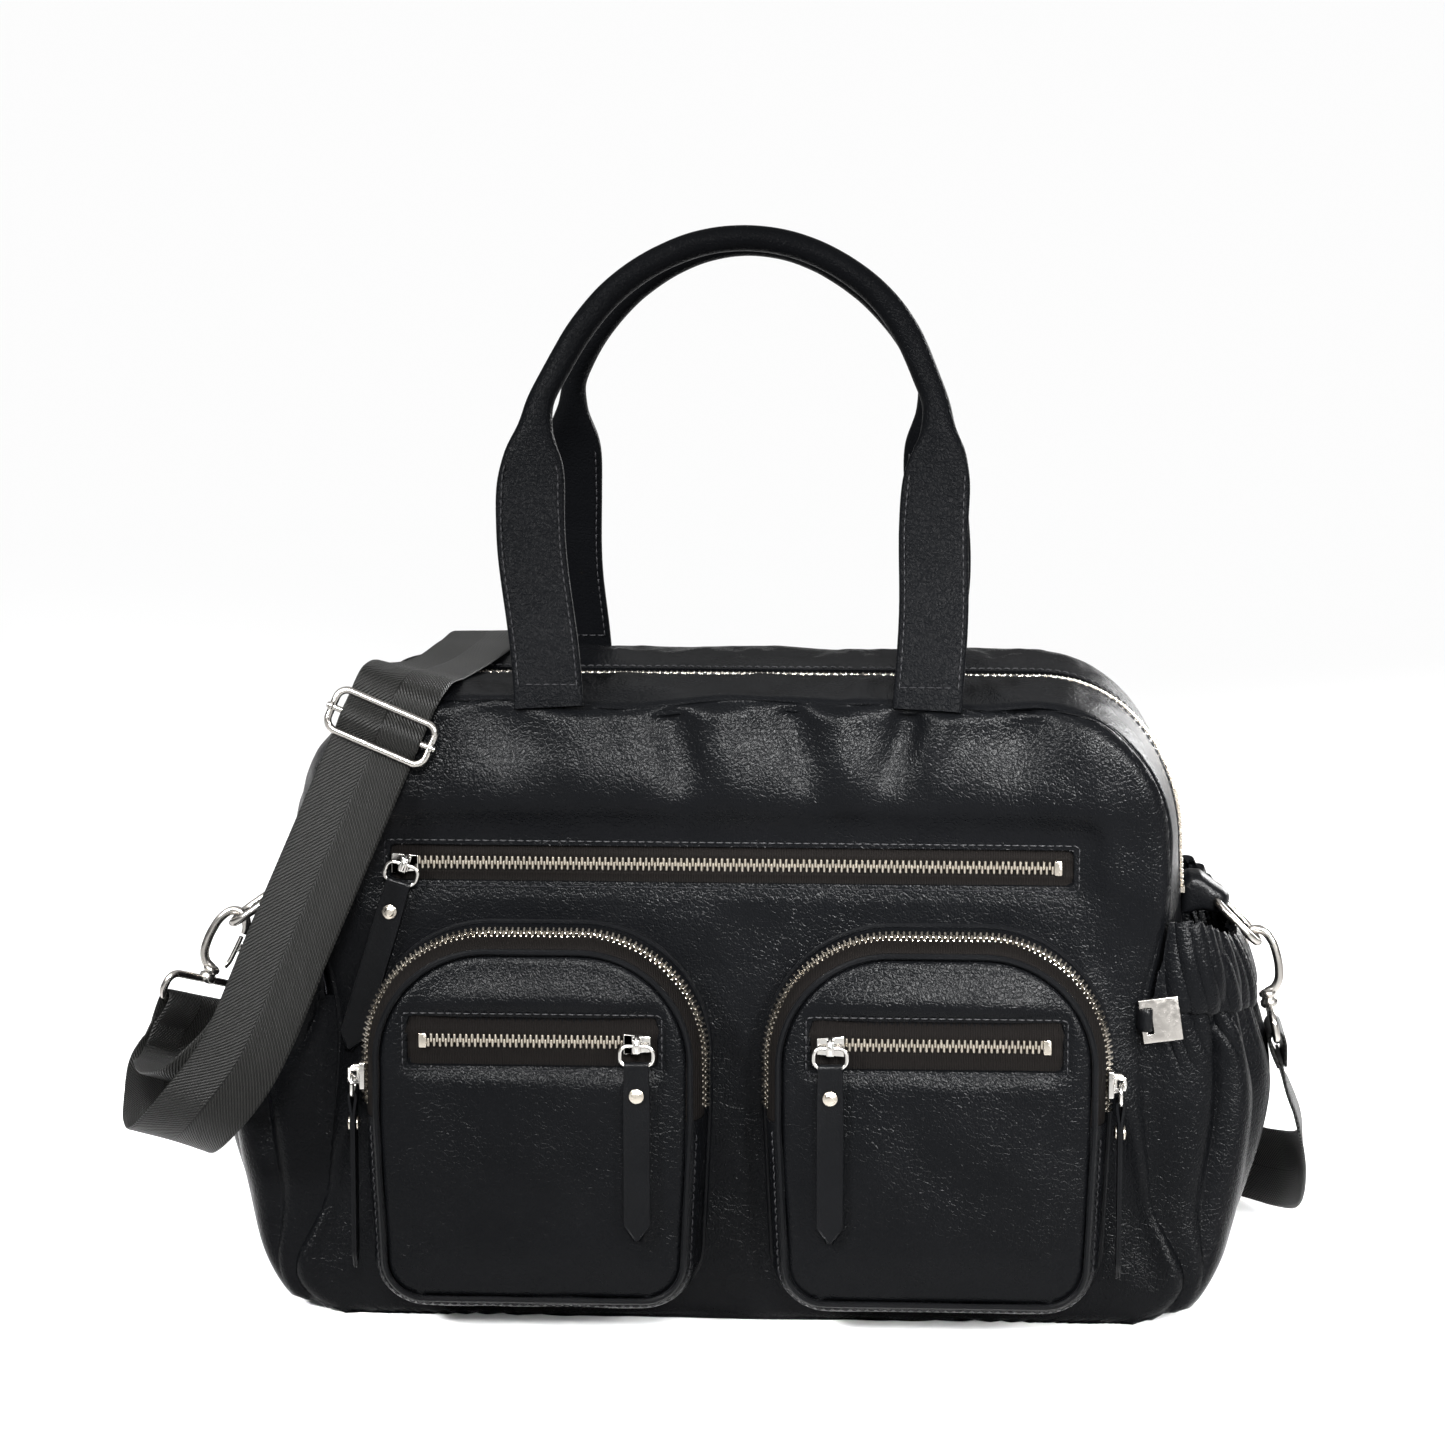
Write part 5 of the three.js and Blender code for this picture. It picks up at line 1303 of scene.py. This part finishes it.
for pull_name, (pull_out, pull_hang, pull_length) in ZIP_PULLS.items():
    make_pull(pull_name, pull_out, pull_hang, pull_length)

# ---- leather loops for the rings, and the tag ---------------------------------------------------
def make_ring_loop(side, name):
    """A thick padded strap rolled round the ring's inner bar and sewn to the side wall."""
    root = float(wall_x(np.array(RING["z"]), np.array(0.0), side)) + 0.0004
    x, z = RING["x"], RING["z"]
    turns = np.radians(np.linspace(75, -115, 13))
    outline = [(root, z - 0.0075, 0), (root, z, 0), (root, z + 0.0085, 0), (root + 0.0035, z + 0.0128, 0),
               (x - 0.0075, z + 0.0125, 0), (x - 0.0020, z + 0.0085, 0)]
    outline += [(x + 0.0064 * np.cos(a), z + 0.0062 * np.sin(a), 0) for a in turns[1:]]
    outline += [(x - 0.0060, z - 0.0052, 0), (root + 0.0035, z - 0.0072, 0)]
    line = resample(np.array(outline + outline[:1]), 0.0013)[:-1, :2]
    centre = line.mean(axis=0)
    rings = []
    for turn in np.linspace(-np.pi / 2 + 0.12, np.pi / 2 - 0.12, 17):
        p = centre + (line - centre) * (np.cos(turn) ** 0.36 * 1.02)
        crease = 0.0006 * np.exp(-((np.hypot(p[:, 0] - x, p[:, 1] - z) / 0.0075) ** 6))
        rings.append(xyz(side * p[:, 0], 0.0094 * np.sin(turn) / np.sin(1.45), p[:, 1] - crease))
    Mesh().add(*sections_tube(rings)).build(f"ring_loop_leather_{name}", SMOOTH_LEATHER, "leather", "shell", 50,
                                            [f"ring_loop_{name}"])

for side, name in SIDES:
    make_ring_loop(side, name)

def make_tag():
    plate = refined("side_tag", "side_tag_plate", DARK_NICKEL, "shell", 0.0004, 2)
    low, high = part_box("side_tag")
    middle = (Vector(low) + Vector(high)) / 2
    plate.data.transform(Matrix.Translation(middle) @ Matrix.Rotation(np.radians(-8), 4, "Y")
                         @ Matrix.Translation(-middle))
    slot_x, z, y = low.x + 0.0040, (low.z + high.z) / 2, (low.y + high.y) / 2
    route = [(slot_x - 0.0052, y + 0.0046, z, 0, 0, 1), (slot_x - 0.0036, y - 0.0010, z, 0, 0, 1),
             (slot_x - 0.0010, y - 0.0021, z, 0, 0, 1), (slot_x + 0.0011, y, z, 0, 0, 1),
             (slot_x - 0.0010, y + 0.0021, z, 0, 0, 1), (slot_x - 0.0040, y + 0.0040, z, 0, 0, 1)]
    centre, across, out = ribbon_frame(route, 0.0008)
    webbing_mesh(centre, across, out, 0.0105, 0.0012).build("side_tag_loop", SMOOTH_LEATHER, "leather", "shell")

make_tag()

# ---- inside -----------------------------------------------------------------------------------
def fit_lining(work):
    """Draw the lining in a little, so it stays behind the slack leather of the walls."""
    at = np.array([tuple(v.co) for v in work.verts])
    z, y = np.maximum(at[:, 2], 0.004), at[:, 1]
    plain = lerp(half_width(z), half_width(z) + pinch(z) + bulge(z), 1 - np.clip(np.abs(y) / BOW_Y, 0, 1) ** 2)
    drawn = np.where(at[:, 0] > 0, wall_x(z, y, 1), wall_x(z, y, -1))
    for v, x, a, b in zip(work.verts, at[:, 0], drawn, plain):
        v.co.x = x * (a - 0.0045 * smooth(0.05, 0.15, abs(x))) / b
        v.co.y *= 0.965

CLOTH_EDGE, RUMPLE = 0.012, 0.0008

def soft_copy(node, name):
    """A cloth piece from its plain solid: cut finer and slightly rumpled, which stands for the node."""
    mesh, work = cad_copy(node)
    for _ in range(4):
        long_edges = [e for e in work.edges if e.calc_length() > CLOTH_EDGE]
        if long_edges:
            bmesh.ops.subdivide_edges(work, edges=long_edges, cuts=1)
            split_wide_faces(work)
    work.normal_update()
    if node == "lining":
        fit_lining(work)
    for v in work.verts:
        v.co += (Vector((0, 1, 0)) * RUMPLE * noise.noise(v.co * 40)
                 + Vector((1, 0, 0)) * RUMPLE * noise.noise(v.co * 40 + Vector((7, 0, 0))))
    finish_copy(mesh, work, node, name, CLOTH, "shell", 50)

for cloth_node in ("lining", "inner_pocket", "front_pocket_bag"):
    soft_copy(cloth_node, f"{cloth_node}_cloth")

def board_material():
    n = Nodes("stiffener", (0.07, 0.065, 0.06), 0.8, specular=0.2)
    n.colors(n.noise(600.0), (0.05, 0.046, 0.042), (0.09, 0.084, 0.078))
    n.bump(n.noise(900.0), 0.3, 0.0003)
    return n.material

refined("base_board", "base_board_sheet", board_material(), "shell", 0.0005, 2)

def declare_pads():
    """Leather over foam, or gathered and slack: how full each padded piece is, in a table that is only built here and
    that nothing reads.
    """
    fills = {"front_panel_leather": 0.45, "back_panel_leather": 0.45, "base_leather": 0.6,
             "front_handle_leather": 0.9, "rear_handle_leather": 0.9}
    for side in ("left", "right"):
        fills |= {f"side_gusset_leather_{side}": 0.4, f"cargo_face_leather_{side}": 0.5,
                  f"side_pocket_leather_{side}": 0.2, f"side_pocket_hem_leather_{side}": 0.6,
                  f"ring_loop_leather_{side}": 0.6}

declare_pads()

# ---- floor and light --------------------------------------------------------------------------
def make_floor():
    size = 60.0
    mesh = bpy.data.meshes.new("floor")
    mesh.from_pydata([(-size, -size, 0), (size, -size, 0), (size, size, 0), (-size, size, 0)], [], [(0, 1, 2, 3)])
    floor = bpy.data.objects.new("floor", mesh)
    n = Nodes("floor", (0.93, 0.93, 0.93), 0.9, specular=0.0)
    floor.data.materials.append(n.material)
    scene.collection.objects.link(floor)
    floor.location.z = -0.0004

def area_light(name, at, aim, size, power, spread):
    light = bpy.data.lights.new(name, "AREA")
    light.shape = "RECTANGLE"
    light.size, light.size_y = size
    light.energy = power
    light.spread = np.radians(spread)
    lamp = bpy.data.objects.new(name, light)
    scene.collection.objects.link(lamp)
    lamp.location = at
    lamp.rotation_euler = (Vector(aim) - Vector(at)).to_track_quat("-Z", "Y").to_euler()

def sun_light(toward, strength, spread):
    light = bpy.data.lights.new("sun", "SUN")
    light.energy = strength
    light.angle = np.radians(spread)
    lamp = bpy.data.objects.new("sun", light)
    scene.collection.objects.link(lamp)
    lamp.rotation_euler = Vector(toward).to_track_quat("Z", "Y").to_euler()

def make_world():
    """A pale dome that is dark toward the horizon, so leather seen at a low angle stays black."""
    world = bpy.data.worlds.new("studio")
    world.use_nodes = True
    scene.world = world
    tree = world.node_tree
    back = tree.nodes["Background"]
    height = tree.nodes.new("ShaderNodeSeparateXYZ")
    ramp = tree.nodes.new("ShaderNodeMapRange")
    ramp.interpolation_type = "SMOOTHSTEP"
    for key, number in (("From Min", 0.15), ("From Max", 0.60), ("To Min", 0.06), ("To Max", 0.75)):
        ramp.inputs[key].default_value = number
    tree.links.new(tree.nodes.new("ShaderNodeTexCoord").outputs["Generated"], height.inputs[0])
    tree.links.new(height.outputs["Z"], ramp.inputs["Value"])
    tree.links.new(ramp.outputs["Result"], back.inputs["Strength"])
    back.inputs["Color"].default_value = (1, 1, 1, 1)

make_floor()
make_world()
scene.view_settings.view_transform = "Standard"
# Name, place, what it points at, size, watts and spread in degrees.
for lamp in (
    ("key", (-1.25, -1.35, 1.25), (-0.05, 0, 0.22), (0.6, 0.6), 4.4, 22),
    ("front_top", (0.20, -1.75, 1.10), (0.03, 0, 0.20), (0.9, 0.35), 3.2, 16),
    ("right_strip", (1.35, -1.15, 0.80), (0.18, 0, 0.14), (0.22, 0.9), 2.6, 26),
    ("shoulder", (0.80, -1.70, 0.80), (0.13, -0.05, 0.235), (0.35, 0.35), 1.3, 12),
    ("rear", (1.3, 2.0, 0.75), (0, 0, 0.15), (0.9, 0.9), 5, 50),
):
    area_light(*lamp)
sun_light((-0.5, -0.6, 1.0), 1.62, 45)
